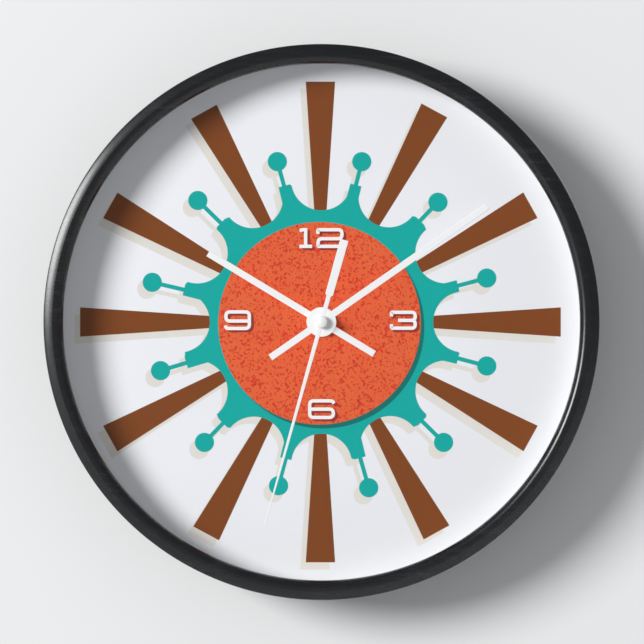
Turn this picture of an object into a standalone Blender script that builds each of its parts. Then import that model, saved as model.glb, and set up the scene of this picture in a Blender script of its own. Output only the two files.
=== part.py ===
"""Round wall clock with a wooden frame, a flat dial and a battery quartz movement.

Every piece is modelled in the clock's own axes: X to the right and Y up on the dial, Z towards
the viewer, with Z = 0 on the wall. One empty, clock_axis, stands that frame upright, so in the
world the dial faces -Y, +Z is up, and the origin is the point of the wall that carries the clock.
Heights are counted along Z. Angles on the dial are given clockwise from twelve.
"""

import math

import bmesh
import bpy
from mathutils import Matrix, Vector

MM = 0.001

# ---------------------------------------------------------------- clearances
SEAT_GAP = 0.1 * MM  # between pieces that rest on each other
SIDE_GAP = 0.3 * MM  # around a piece that drops into a recess
RUNNING_GAP = 0.06 * MM  # between a pivot and its bearing
SLIDE_GAP = 0.12 * MM  # between the concentric tubes
CUT_MARGIN = 1.0 * MM  # how far a cutter runs past what it cuts
FILL_SCALE = 1000.0  # outlines are filled this much larger, because filling joins close points

# ---------------------------------------------------------------- frame and glazing
FRAME_RADIUS = 127.0 * MM
FRAME_DEPTH = 40.0 * MM
FRAME_OPENING = 118.2 * MM
FRAME_WALL = 6.0 * MM
FRAME_OUTER_ROUND = 4.0 * MM
FRAME_INNER_ROUND = 3.2 * MM
FRAME_BACK_ROUND = 1.0 * MM
LIP_DEPTH = 5.0 * MM
LENS_THICKNESS = 2.0 * MM
SPACER_LENGTH = 11.0 * MM
SPACER_WALL = 1.6 * MM
DIAL_THICKNESS = 0.3 * MM
BOARD_THICKNESS = 2.5 * MM
BIG_SEGMENTS = 64

# ---------------------------------------------------------------- retaining points
POINT_COUNT = 6
POINT_WIDTH = 8.0 * MM
POINT_THICKNESS = 0.5 * MM
POINT_REACH = 7.0 * MM
POINT_BITE = 3.2 * MM
POINT_FIRST_ANGLE = 30.0

# ---------------------------------------------------------------- hanger
HANG_RISE = 52.0 * MM
HANGER_WIDTH = 20.0 * MM
HANGER_SHEET = 0.8 * MM
HANGER_FOOT = 13.0 * MM
HANGER_STEP = 9.0 * MM
HANGER_BEND = 2.0 * MM
HANGER_HEAD = 13.0 * MM
HANGER_CORNER = 6.0 * MM
NAIL_HEAD_HOLE = 4.6 * MM
NAIL_SLOT_WIDTH = 5.0 * MM
NAIL_SLOT_DROP = 9.0 * MM

# ---------------------------------------------------------------- movement case
GASKET_THICKNESS = 0.5 * MM
GASKET_RADIUS = 11.0 * MM
CASE_SIDE = 56.0 * MM
CASE_CORNER = 4.0 * MM
CASE_WALL = 1.2 * MM
CASE_FRONT = 1.0 * MM
MOVEMENT_DEPTH = 15.8 * MM
COVER_THICKNESS = 1.2 * MM
COLLAR_RADIUS = 3.95 * MM
COLLAR_RISE = 3.6 * MM  # above the dial
WASHER_RADIUS = 7.0 * MM
WASHER_THICKNESS = 0.6 * MM
NUT_FLATS = 11.0 * MM
NUT_HEIGHT = 2.4 * MM
NUT_CHAMFER = 0.2 * MM
POST_RADIUS = 1.5 * MM
POST_CLEARANCE = 0.35 * MM  # between a post and the teeth of a wheel that passes it
PIN_RADIUS = 0.8 * MM
PIN_LENGTH = 1.6 * MM  # behind the post's shoulder
MOTION_POST_PROUD = 0.3 * MM
BOSS_RISE = 1.3 * MM  # above the cover's inner face
BOSS_FLOOR = 0.1 * MM  # left between the cover's inner face and a pivot's hole
CONTACT_SLOT_DEPTH = 6.0 * MM  # in the wall between the bay and the gear chamber
MIDDLE_PLATE_LEFT, MIDDLE_PLATE_RIGHT, MIDDLE_PLATE_TOP = -25.8 * MM, 22.5 * MM, 15.5 * MM
MIDDLE_PLATE_CORNER = 2.0 * MM

# ---------------------------------------------------------------- tubes and arbors on the clock's axis
HOUR_TUBE_RADIUS = 2.55 * MM
MINUTE_TUBE_RADIUS = 1.7 * MM
SECONDS_ARBOR_RADIUS = 0.5 * MM
SMALL_SEGMENTS = 20
HOLE_SEGMENTS = 16
PIVOT_SEGMENTS = 12
PIN_SEGMENTS = 8
ARBOR_RADIUS = 0.5 * MM
PIVOT_HOLE_DEPTH = 1.0 * MM
PIVOT_HOLE_GAP = 0.25 * MM  # left at the bottom of a pivot's hole
PLATE_PIVOT = 0.7 * MM  # how far a pivot goes into the middle plate
TUBE_PROUD = 0.2 * MM  # how far a tube stands out of what it carries

# ---------------------------------------------------------------- gear train
PRESSURE_ANGLE = math.radians(20)
ADDENDUM = 0.8
DEDENDUM = 1.15
PINION_SHIFT = 0.5
BACKLASH = 0.07 * MM
ROTOR_LEAVES, INTERMEDIATE_TEETH = 8, 40
INTERMEDIATE_LEAVES, SECONDS_TEETH = 8, 48
SECONDS_LEAVES, THIRD_TEETH = 8, 60
THIRD_LEAVES, CENTRE_TEETH = 8, 64
CANNON_LEAVES, MOTION_TEETH = 10, 30
MOTION_LEAVES, HOUR_TEETH = 8, 32
KNOB_LEAVES = 16
ROTOR_SPACING = 9.0 * MM  # rotor to intermediate arbor
INTERMEDIATE_SPACING = 10.5 * MM  # intermediate arbor to the centre
THIRD_SPACING = 10.8 * MM
MOTION_SPACING = 8.6 * MM
INTERMEDIATE_ANGLE = 15.0
ROTOR_ANGLE = 80.0  # seen from the intermediate arbor
MOTION_ANGLE = 250.0
KNOB_ANGLE = 260.0  # seen from the motion arbor
KNOB_RADIUS = 5.5 * MM
KNOB_STEM = 1.5 * MM
KNOB_STEM_PROUD = 0.8 * MM  # in front of the motion wheel
KNOB_RISE = 1.0 * MM
KNOB_FLUTES = 12
KNOB_FLUTE_DEPTH = 0.5 * MM
KNOB_RIDGE_WIDTH = 1.65 * MM

# ---------------------------------------------------------------- levels inside the case, below its front
HOUR_LEVEL = 1.4 * MM
MOTION_LEVEL = 3.1 * MM
CLUTCH_LEVEL = 4.55 * MM
CENTRE_LEVEL = 5.1 * MM
PLATE_LEVEL = 6.6 * MM
THIRD_LEVEL = 8.1 * MM
SECONDS_LEVEL = 9.9 * MM
INTERMEDIATE_LEVEL = 11.6 * MM
WHEEL_THICKNESS = 1.0 * MM
MOTION_THICKNESS = 1.2 * MM
PLATE_THICKNESS = 1.0 * MM
CLUTCH_THICKNESS = 0.3 * MM
CLUTCH_RADIUS = 3.4 * MM
LEAF_OVERHANG = 0.15 * MM
THIRD_POST_GAP = 0.6 * MM  # between the third arbor's front bearing and the centre wheel's level

# ---------------------------------------------------------------- motor and electrics
MAGNET_RADIUS = 2.6 * MM
MAGNET_THICKNESS = 1.6 * MM
STATOR_THICKNESS = 0.8 * MM
STATOR_AIR_GAP = 0.5 * MM
STATOR_WEB = 2.0 * MM  # iron above and below the rotor's hole
STATOR_CORNER = 1.0 * MM
STATOR_LEFT_LEG, STATOR_RIGHT_LEG = 2.9 * MM, 2.7 * MM
STATOR_LEG_RISE = 2.2 * MM  # above the coil's centre line
COIL_RADIUS = 3.4 * MM
COIL_LENGTH = 13.0 * MM
COIL_HEIGHT = 22.0 * MM  # above the clock's axis
COIL_CENTRE = 15.0 * MM  # to the right of the clock's axis
BOBBIN_FLANGE = 0.8 * MM
BOBBIN_FLANGE_RISE = 0.4 * MM  # above the winding
BOBBIN_BORE_GAP = 0.25 * MM  # around the corners of the core
BOBBIN_BARREL_WALL = 0.65 * MM
CORE_SIDE = 1.6 * MM
CORE_INSET = 0.4 * MM  # from the stator's outer sides
BOARD_SIZE = (23.0 * MM, 8.6 * MM, 0.8 * MM)
BOARD_CORNER = (-25.5 * MM, 17.2 * MM)
BOARD_LEVEL = 9.0 * MM
CHIP_PLACE, CRYSTAL_PLACE = 6.9 * MM, 16.56 * MM  # from the board's left edge
CHIP_RADIUS = 2.6 * MM
CHIP_TOP_RADIUS = 2.08 * MM
CHIP_SHOULDER = 0.7 * MM
CHIP_HEIGHT = 1.0 * MM
CRYSTAL_RADIUS = 1.0 * MM
CRYSTAL_LENGTH = 6.0 * MM
CELL_RADIUS = 7.1 * MM
CELL_LENGTH = 50.5 * MM
CELL_NUB_RADIUS = 2.75 * MM
CELL_NUB = 1.3 * MM
CELL_EDGE = 0.6 * MM
CONTACT_SHEET = 0.3 * MM
CONTACT_WIDTH = 9.0 * MM
CONTACT_HEIGHT = 4.5 * MM
CONTACT_SPRING = 1.9 * MM
CONTACT_FLAT = 3.0 * MM  # width of the part that bears on the cell
CONTACT_TAIL = 6.0 * MM  # into the gear chamber
CONTACT_LIFT = 1.5 * MM  # in front of the cover's inner face

# ---------------------------------------------------------------- hands
HAND_SHEET = 0.5 * MM
HAND_WIDTH = 3.1 * MM
HAND_HUB_RADIUS = 6.8 * MM
HOUR_TIP, HOUR_TAIL = 61.0 * MM, 28.4 * MM
MINUTE_TIP, MINUTE_TAIL = 93.2 * MM, 28.6 * MM
SECONDS_TIP, SECONDS_TAIL = 96.8 * MM, 39.1 * MM
NEEDLE_ROOT_WIDTH, NEEDLE_TIP_WIDTH = 2.0 * MM, 0.6 * MM
PADDLE_START, PADDLE_SHOULDER = 12.2 * MM, 1.0 * MM
PADDLE_NEAR_WIDTH, PADDLE_FAR_WIDTH = 3.6 * MM, 3.9 * MM
CAP_RADIUS = 2.9 * MM
CAP_HEIGHT = 1.9 * MM
CAP_SKIRT = 0.3 * MM  # behind the seconds hand
CAP_ROUND = ((0.7 * MM, 0.1 * MM), (0.15 * MM, 0.4 * MM), (0, 0.9 * MM))  # in from its side, down
SOCKET_FLOOR = 0.3 * MM  # free above the arbor's end
HOUR_HAND_ANGLE = 301.2
MINUTE_HAND_ANGLE = 55.1
SECONDS_HAND_ANGLE = 195.6
HOUR_HAND_RISE = 4.0 * MM  # above the dial
MINUTE_HAND_RISE = 5.8 * MM
SECONDS_HAND_RISE = 7.7 * MM
COLLET_HEIGHT = 0.5 * MM
COLLET_WALL = 0.8 * MM

# ---------------------------------------------------------------- heights that follow
LENS_FRONT = FRAME_DEPTH - LIP_DEPTH - SEAT_GAP
LENS_BACK = LENS_FRONT - LENS_THICKNESS
SPACER_FRONT = LENS_BACK - SEAT_GAP
SPACER_BACK = SPACER_FRONT - SPACER_LENGTH
DIAL_FRONT = SPACER_BACK - SEAT_GAP
DIAL_BACK = DIAL_FRONT - DIAL_THICKNESS
BOARD_FRONT = DIAL_BACK - SEAT_GAP
BOARD_BACK = BOARD_FRONT - BOARD_THICKNESS
HANGER_FRONT = BOARD_BACK - SEAT_GAP
HANGER_BACK = HANGER_FRONT - HANGER_SHEET
GASKET_FRONT = HANGER_BACK - SEAT_GAP
GASKET_BACK = GASKET_FRONT - GASKET_THICKNESS
CASE_TOP = GASKET_BACK - SEAT_GAP
COVER_BACK = CASE_TOP - MOVEMENT_DEPTH
COVER_FRONT = COVER_BACK + COVER_THICKNESS
COLLAR_TOP = DIAL_FRONT + COLLAR_RISE
POST_ROOT = CASE_TOP - CASE_FRONT / 2
THIRD_POST_END = CASE_TOP - CENTRE_LEVEL + THIRD_POST_GAP
RECESS_RADIUS = FRAME_RADIUS - FRAME_WALL
GLAZING_RADIUS = RECESS_RADIUS - SIDE_GAP
SHAFT_HOLE = COLLAR_RADIUS + SLIDE_GAP
BAY_FLOOR = CASE_TOP - CASE_FRONT
BAY_WIDTH = 2 * (CELL_RADIUS + SIDE_GAP)
BAY_BOTTOM = -CASE_SIDE / 2 + CASE_WALL
BAY_TOP = BAY_BOTTOM + BAY_WIDTH
CHAMBER_BOTTOM = BAY_TOP + CASE_WALL
CHAMBER_TOP = CASE_SIDE / 2 - CASE_WALL
CHAMBER_SIDE = CASE_SIDE / 2 - CASE_WALL


# ================================================================ scene
def clear_scene():
    """Remove every object that the file opened with."""
    for item in list(bpy.data.objects):
        bpy.data.objects.remove(item, do_unlink=True)


def new_collection(name, hidden):
    """Make a collection in the scene, left out of renders if it holds tools."""
    collection = bpy.data.collections.new(name)
    collection.hide_render = hidden
    bpy.context.scene.collection.children.link(collection)
    return collection


clear_scene()
PARTS = new_collection("wall_clock", hidden=False)
CUTTERS = new_collection("cutters", hidden=True)


def new_empty(name, location, parent=None):
    """Make an axis empty; moving pieces are parented to the one on their axis."""
    empty = bpy.data.objects.new(name, None)
    empty.empty_display_size = 0.01
    empty.location = location
    empty.parent = parent
    PARTS.objects.link(empty)
    return empty


CLOCK_AXIS = new_empty("clock_axis", (0, 0, -HANG_RISE))
CLOCK_AXIS.rotation_euler = (math.radians(90), 0, 0)


def material(name, colour, roughness, metallic=0.0, alpha=1.0):
    """Make a plain Principled material."""
    made = bpy.data.materials.new(name)
    made.use_nodes = True
    shader = made.node_tree.nodes["Principled BSDF"]
    shader.inputs["Base Color"].default_value = (*colour, 1)
    shader.inputs["Roughness"].default_value = roughness
    shader.inputs["Metallic"].default_value = metallic
    shader.inputs["Alpha"].default_value = alpha
    return made


# ================================================================ outlines
def direction(clock_degrees):
    """Unit vector of a direction given clockwise from twelve."""
    angle = math.radians(90 - clock_degrees)
    return Vector((math.cos(angle), math.sin(angle)))


def polar(radius, angle):
    """Point at an angle in radians, counted from +X."""
    return (radius * math.cos(angle), radius * math.sin(angle))


def circle(radius, segments=SMALL_SEGMENTS, centre=(0, 0)):
    """Outline of a circle, with its first point at +X."""
    steps = (2 * math.pi * step / segments for step in range(segments))
    return [(centre[0] + x, centre[1] + y) for x, y in (polar(radius, angle) for angle in steps)]


def rectangle(left, right, bottom, top):
    """Outline of a rectangle."""
    return [(left, bottom), (right, bottom), (right, top), (left, top)]


def arc(centre, radius, start, end, steps):
    """Points along an arc between two angles in degrees, both ends included."""
    angles = (math.radians(start + (end - start) * step / steps) for step in range(steps + 1))
    return [(centre[0] + radius * math.cos(a), centre[1] + radius * math.sin(a)) for a in angles]


def rounded_rectangle(left, right, bottom, top, radius, steps=3):
    """Outline of a rectangle with round corners."""
    corners = (
        (right - radius, top - radius, 0),
        (left + radius, top - radius, 90),
        (left + radius, bottom + radius, 180),
        (right - radius, bottom + radius, 270),
    )
    outline = []
    for x, y, start in corners:
        outline += arc((x, y), radius, start, start + 90, steps)
    return outline


def involute(angle):
    """Involute function of a pressure angle."""
    return math.tan(angle) - angle


def gear_outline(teeth, module, shift, phase, flank_steps=1):
    """Outline of an involute gear.

    phase is the direction of one tooth's middle. shift moves the tooth outwards, in modules,
    which keeps a pinion of few leaves from being undercut; its wheel takes the opposite shift.
    """
    pitch_radius = module * teeth / 2
    base_radius = pitch_radius * math.cos(PRESSURE_ANGLE)
    root = pitch_radius - (DEDENDUM - shift) * module
    tip = pitch_radius + (ADDENDUM + shift) * module
    pitch_half = (math.pi / 2 + 2 * shift * math.tan(PRESSURE_ANGLE)) / teeth
    pitch_half -= BACKLASH / (4 * pitch_radius)

    def half_angle(radius):
        rolled = math.acos(min(1.0, base_radius / radius))
        return pitch_half + involute(PRESSURE_ANGLE) - involute(rolled)

    radii = [root + (tip - root) * step / flank_steps for step in range(flank_steps + 1)]
    flank = [(radius, half_angle(radius)) for radius in radii]
    outline = []
    for tooth in range(teeth):
        middle = phase + 2 * math.pi * tooth / teeth
        outline += [polar(radius, middle - half) for radius, half in flank]
        outline += [polar(radius, middle + half) for radius, half in reversed(flank)]
    return outline


def module_for(spacing, teeth, leaves):
    """Module that makes a wheel and a pinion fit their arbors' spacing."""
    return 2 * spacing / (teeth + leaves)


def meshing_phase(heading, teeth, driver_phase=None, driver_teeth=1):
    """Phase of a gear that meshes with a driver lying at heading + 180 degrees from it.

    heading is the direction from the driver to the gear, in radians. With no driver phase, the
    driver has a tooth on the line of centres. The gear then has a gap there.
    """
    offset = 0.0 if driver_phase is None else (heading - driver_phase) * driver_teeth / (2 * math.pi)
    return heading + math.pi + (offset - 0.5) * 2 * math.pi / teeth


# ================================================================ solids
def add_object(name, mesh, parent, finish):
    """Put a mesh in the scene as a part, or as a tool if it has no finish."""
    item = bpy.data.objects.new(name, mesh)
    item.parent = parent
    if finish is None:
        CUTTERS.objects.link(item)
        item.hide_render = True
        item.display_type = "WIRE"
    else:
        PARTS.objects.link(item)
        mesh.materials.append(finish)
    return item


def prism(name, outlines, low, high, parent=CLOCK_AXIS, finish=None):
    """Extrude closed outlines between two heights; outlines after the first are holes."""
    curve = bpy.data.curves.new(name, "CURVE")
    curve.dimensions = "2D"
    curve.fill_mode = "BOTH"
    curve.extrude = FILL_SCALE * (high - low) / 2
    for outline in outlines:
        spline = curve.splines.new("POLY")
        spline.points.add(len(outline) - 1)
        spline.use_cyclic_u = True
        for point, (x, y) in zip(spline.points, outline):
            point.co = (FILL_SCALE * x, FILL_SCALE * y, 0, 1)
    holder = bpy.data.objects.new(name, curve)
    CUTTERS.objects.link(holder)
    graph = bpy.context.evaluated_depsgraph_get()
    mesh = bpy.data.meshes.new_from_object(holder.evaluated_get(graph))
    bpy.data.objects.remove(holder)
    bpy.data.curves.remove(curve)
    mesh.transform(Matrix.Translation((0, 0, (low + high) / 2)) @ Matrix.Scale(1 / FILL_SCALE, 4))
    shape = bmesh.new()
    shape.from_mesh(mesh)
    bmesh.ops.remove_doubles(shape, verts=shape.verts, dist=1e-7)
    bmesh.ops.recalc_face_normals(shape, faces=shape.faces)
    shape.to_mesh(mesh)
    shape.free()
    return add_object(name, mesh, parent, finish)


def turned(name, profile, parent=CLOCK_AXIS, finish=None, segments=SMALL_SEGMENTS, closed=True):
    """Turn a profile of (radius, height) points about Z, running down its outer side."""
    mesh = bpy.data.meshes.new(name)
    count = len(profile)
    edges = [(index, (index + 1) % count) for index in range(count if closed else count - 1)]
    mesh.from_pydata([(radius, 0, height) for radius, height in profile], edges, [])
    item = add_object(name, mesh, parent, finish)
    screw = item.modifiers.new("turn", "SCREW")
    screw.steps = screw.render_steps = segments
    screw.use_merge_vertices = True
    screw.merge_threshold = 1e-6
    screw.use_smooth_shade = True
    return item


def cylinder(
    name, radius, low, high, parent=CLOCK_AXIS, finish=None, segments=SMALL_SEGMENTS, centre=(0, 0)
):
    """Upright cylinder between two heights."""
    return prism(name, [circle(radius, segments, centre)], low, high, parent, finish)


def ring(name, outer, inner, low, high, parent=CLOCK_AXIS, finish=None, segments=SMALL_SEGMENTS):
    """Turned ring of rectangular section."""
    section = [(outer, high), (outer, low), (inner, low), (inner, high)]
    return turned(name, section, parent, finish, segments)


def combine(target, tool, operation):
    """Join a tool to a piece, or cut it away."""
    step = target.modifiers.new(tool.name, "BOOLEAN")
    step.operation = operation
    step.solver = "EXACT"
    step.object = tool


def join(target, *tools):
    """Fuse tools with a piece."""
    for tool in tools:
        combine(target, tool, "UNION")


def cut(target, *tools):
    """Cut tools away from a piece."""
    for tool in tools:
        combine(target, tool, "DIFFERENCE")


def bent_sheet(name, edge, across, sheet, finish):
    """Bent sheet metal: one edge's open line of points, carried across and thickened both ways."""
    mesh = bpy.data.meshes.new(name)
    count = len(edge)
    far_edge = [tuple(Vector(point) + Vector(across)) for point in edge]
    faces = [(i, i + 1, count + i + 1, count + i) for i in range(count - 1)]
    mesh.from_pydata(edge + far_edge, [], faces)
    item = add_object(name, mesh, CLOCK_AXIS, finish)
    thick = item.modifiers.new("sheet", "SOLIDIFY")
    thick.thickness = sheet
    thick.offset = 0
    thick.use_even_offset = True
    return item


# ================================================================ frame, lens and dial
def build_frame():
    """Turned wooden ring: a lip in front of the lens and an open recess behind it."""
    wood = material("black_stained_wood", (0.018, 0.02, 0.024), 0.45)
    outer_centre = (FRAME_RADIUS - FRAME_OUTER_ROUND, FRAME_DEPTH - FRAME_OUTER_ROUND)
    inner_centre = (FRAME_OPENING + FRAME_INNER_ROUND, FRAME_DEPTH - FRAME_INNER_ROUND)
    back_centre = (FRAME_RADIUS - FRAME_BACK_ROUND, FRAME_BACK_ROUND)
    profile = arc(outer_centre, FRAME_OUTER_ROUND, 90, 0, 3)
    profile += arc(back_centre, FRAME_BACK_ROUND, 0, -90, 1)
    profile += [
        (RECESS_RADIUS, 0),
        (RECESS_RADIUS, FRAME_DEPTH - LIP_DEPTH),
        (FRAME_OPENING, FRAME_DEPTH - LIP_DEPTH),
    ]
    profile += arc(inner_centre, FRAME_INNER_ROUND, 180, 90, 3)
    frame = turned("frame", profile, finish=wood, segments=BIG_SEGMENTS)
    for number in range(POINT_COUNT):
        cut(frame, point_slot(number))


def point_angle(number):
    """Direction of a retaining point, clockwise from twelve."""
    return POINT_FIRST_ANGLE + number * 360 / POINT_COUNT


def place_point(item, number):
    """Turn a piece drawn at twelve o'clock to a retaining point's place."""
    item.rotation_euler = (0, 0, -math.radians(point_angle(number)))
    return item


def point_levels():
    """Lower and upper face of the retaining points, which press on the board's back."""
    return BOARD_BACK - SEAT_GAP - POINT_THICKNESS, BOARD_BACK - SEAT_GAP


def point_slot(number):
    """Slot in the frame's wall that a retaining point is driven into."""
    low, high = point_levels()
    half = POINT_WIDTH / 2 + SEAT_GAP
    far = RECESS_RADIUS + POINT_BITE + SEAT_GAP
    outline = rectangle(-half, half, RECESS_RADIUS - CUT_MARGIN, far)
    slot = prism(f"point_slot_{number + 1}", [outline], low - SEAT_GAP, high + SEAT_GAP)
    return place_point(slot, number)


def build_retaining_points():
    """Flat steel points, driven radially into the frame, that hold the backing board."""
    steel = material("point_steel", (0.5, 0.5, 0.5), 0.4, 1.0)
    low, high = point_levels()
    half = POINT_WIDTH / 2
    tip = RECESS_RADIUS + POINT_BITE
    tail = RECESS_RADIUS - POINT_REACH
    outline = [
        (0, tip),
        (-half, RECESS_RADIUS + POINT_BITE / 3),
        (-half, tail + half / 2),
        (-half / 2, tail),
        (half / 2, tail),
        (half, tail + half / 2),
        (half, RECESS_RADIUS + POINT_BITE / 3),
    ]
    for number in range(POINT_COUNT):
        point = prism(f"retaining_point_{number + 1}", [outline], low, high, finish=steel)
        place_point(point, number)


def build_glazing():
    """Clear lens behind the lip, and the ring that keeps it off the dial."""
    clear = material("clear_acrylic", (0.95, 0.97, 0.97), 0.05, alpha=0.15)
    white = material("spacer_board", (0.8, 0.8, 0.78), 0.7)
    cylinder("lens", GLAZING_RADIUS, LENS_BACK, LENS_FRONT, finish=clear, segments=BIG_SEGMENTS)
    section = (GLAZING_RADIUS, GLAZING_RADIUS - SPACER_WALL, SPACER_BACK, SPACER_FRONT)
    ring("spacer_ring", *section, finish=white, segments=BIG_SEGMENTS)


def build_dial():
    """Printed dial sheet and the fibreboard disc that carries it and the movement."""
    paper = material("dial_paper", (0.76, 0.77, 0.8), 0.6)
    fibre = material("backing_fibreboard", (0.28, 0.17, 0.1), 0.8)
    rim = circle(GLAZING_RADIUS, BIG_SEGMENTS)
    hole = circle(SHAFT_HOLE)
    prism("dial", [rim, hole], DIAL_BACK, DIAL_FRONT, finish=paper)
    prism("backing_board", [rim, hole], BOARD_BACK, BOARD_FRONT, finish=fibre)


# ================================================================ hanger and shaft fixings
def build_hanger():
    """Steel strip clamped behind the board, stepped back over the movement to a keyhole slot."""
    zinc = material("zinc_plated_steel", (0.6, 0.61, 0.63), 0.35, 1.0)
    middle = (HANGER_FRONT + HANGER_BACK) / 2
    rear = middle - HANGER_STEP
    step_at = CASE_SIDE / 2 + HANGER_BEND + SIDE_GAP + HANGER_SHEET
    line = [(-HANGER_FOOT, middle)]
    line += arc((step_at - HANGER_BEND, middle - HANGER_BEND), HANGER_BEND, 90, 0, 3)
    line += arc((step_at + HANGER_BEND, rear + HANGER_BEND), HANGER_BEND, 180, 270, 3)
    line += [(HANG_RISE + HANGER_HEAD, rear)]
    edge = [(-HANGER_WIDTH / 2, y, z) for y, z in line]
    hanger = bent_sheet("hanger_plate", edge, (HANGER_WIDTH, 0, 0), HANGER_SHEET, zinc)
    round_head(hanger, rear)
    through = (middle - CUT_MARGIN, middle + CUT_MARGIN)
    cut(hanger, cylinder("hanger_shaft_hole", SHAFT_HOLE, *through), keyhole(rear))


def round_head(hanger, rear):
    """Trim the head of the hanger to round corners."""
    half = HANGER_WIDTH / 2
    top = HANG_RISE + HANGER_HEAD
    rounding = arc((half - HANGER_CORNER, top - HANGER_CORNER), HANGER_CORNER, 90, 0, 4)
    corner = [(half + CUT_MARGIN, top + CUT_MARGIN), (half - HANGER_CORNER, top + CUT_MARGIN)]
    corner += rounding + [(half + CUT_MARGIN, top - HANGER_CORNER)]
    for side, name in ((-1, "left"), (1, "right")):
        outline = [(side * x, y) for x, y in corner]
        cut(hanger, prism(f"hanger_{name}_corner", [outline], rear - CUT_MARGIN, rear + CUT_MARGIN))


def keyhole(rear):
    """Cutter for the keyhole: the nail's head goes in below and its shank slides up."""
    half = NAIL_SLOT_WIDTH / 2
    low_centre = (0, HANG_RISE - half - NAIL_SLOT_DROP)
    spread = math.degrees(math.asin(half / NAIL_HEAD_HOLE))
    outline = arc((0, HANG_RISE - half), half, 0, 180, 6)
    outline += arc(low_centre, NAIL_HEAD_HOLE, 90 + spread, 450 - spread, 14)
    return prism("keyhole", [outline], rear - CUT_MARGIN, rear + CUT_MARGIN)


def build_shaft_fixings():
    """Rubber gasket behind the board, brass washer and hex nut in front of the dial."""
    rubber = material("black_rubber", (0.02, 0.02, 0.02), 0.8)
    brass = material("brass", (0.72, 0.52, 0.22), 0.3, 1.0)
    ring("gasket", GASKET_RADIUS, SHAFT_HOLE, GASKET_BACK, GASKET_FRONT, finish=rubber)
    washer_low = DIAL_FRONT + SEAT_GAP
    nut_low = washer_low + WASHER_THICKNESS + SEAT_GAP
    ring("washer", WASHER_RADIUS, SHAFT_HOLE, washer_low, washer_low + WASHER_THICKNESS, finish=brass)
    nut_high = nut_low + NUT_HEIGHT
    corners = circle(NUT_FLATS / math.sqrt(3), 6)
    nut = prism("hex_nut", [corners, circle(SHAFT_HOLE)], nut_low, nut_high, finish=brass)
    face = NUT_FLATS / 2 - NUT_CHAMFER
    beyond = 2 * NUT_FLATS
    slope_end = nut_high - (beyond - face) / 2
    above = nut_high + CUT_MARGIN
    profile = [(beyond, above), (beyond, slope_end), (face, nut_high), (face, above)]
    cut(nut, turned("nut_chamfer", profile))


# ================================================================ movement case
def apex_angle(first, second, opposite):
    """Angle between two sides of a triangle, in degrees, from the lengths of its three sides."""
    return math.degrees(math.acos((first**2 + second**2 - opposite**2) / (2 * first * second)))


MOTION_MODULE = module_for(MOTION_SPACING, MOTION_TEETH, CANNON_LEAVES)
MOTION_TIP = MOTION_MODULE * (MOTION_TEETH / 2 + ADDENDUM - PINION_SHIFT)
THIRD_FROM_MOTION = MOTION_TIP + POST_CLEARANCE + POST_RADIUS
THIRD_ANGLE = MOTION_ANGLE + apex_angle(THIRD_SPACING, MOTION_SPACING, THIRD_FROM_MOTION)
ARBORS = {
    "centre": Vector((0, 0)),
    "intermediate": INTERMEDIATE_SPACING * direction(INTERMEDIATE_ANGLE),
    "third": THIRD_SPACING * direction(THIRD_ANGLE),
    "motion": MOTION_SPACING * direction(MOTION_ANGLE),
}
ARBORS["rotor"] = ARBORS["intermediate"] + ROTOR_SPACING * direction(ROTOR_ANGLE)
KNOB_SPACING = MOTION_MODULE * (MOTION_TEETH + KNOB_LEAVES) / 2
ARBORS["knob"] = ARBORS["motion"] + KNOB_SPACING * direction(KNOB_ANGLE)
POSTS = (
    (-23.0 * MM, 12.0 * MM),
    (20.0 * MM, 5.0 * MM),
    (18.0 * MM, -8.0 * MM),
    (-24.0 * MM, -8.0 * MM),
)


def build_case():
    """Moulded front case with the threaded collar, the gear chamber and the battery bay."""
    plastic = material("black_plastic", (0.03, 0.03, 0.032), 0.5)
    half = CASE_SIDE / 2
    outline = rounded_rectangle(-half, half, -half, half, CASE_CORNER, 4)
    case = prism("movement_case", [outline], COVER_FRONT + SEAT_GAP, CASE_TOP, finish=plastic)
    below = COVER_FRONT - CUT_MARGIN
    corner = CASE_CORNER - CASE_WALL
    chamber = rounded_rectangle(-CHAMBER_SIDE, CHAMBER_SIDE, CHAMBER_BOTTOM, CHAMBER_TOP, corner)
    cut(case, prism("gear_chamber", [chamber], below, BAY_FLOOR))
    bay = rounded_rectangle(-CHAMBER_SIDE, CHAMBER_SIDE, BAY_BOTTOM, BAY_TOP, corner)
    cut(case, prism("battery_bay", [bay], below, BAY_FLOOR))
    join(case, cylinder("collar", COLLAR_RADIUS, POST_ROOT, COLLAR_TOP))
    add_posts(case)
    cut(case, cylinder("collar_bore", HOUR_TUBE_RADIUS + SLIDE_GAP, below, COLLAR_TOP + CUT_MARGIN))
    slot_half = CONTACT_SHEET + SIDE_GAP
    slot_top = COVER_FRONT + CONTACT_SLOT_DEPTH
    for side, name in ((-1, "left"), (1, "right")):
        x = side * (CHAMBER_SIDE - slot_half)
        reach = (BAY_TOP - CASE_CORNER, CHAMBER_BOTTOM + CASE_CORNER)
        slot = rectangle(x - slot_half, x + slot_half, *reach)
        cut(case, prism(f"{name}_contact_slot", [slot], below, slot_top))


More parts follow.
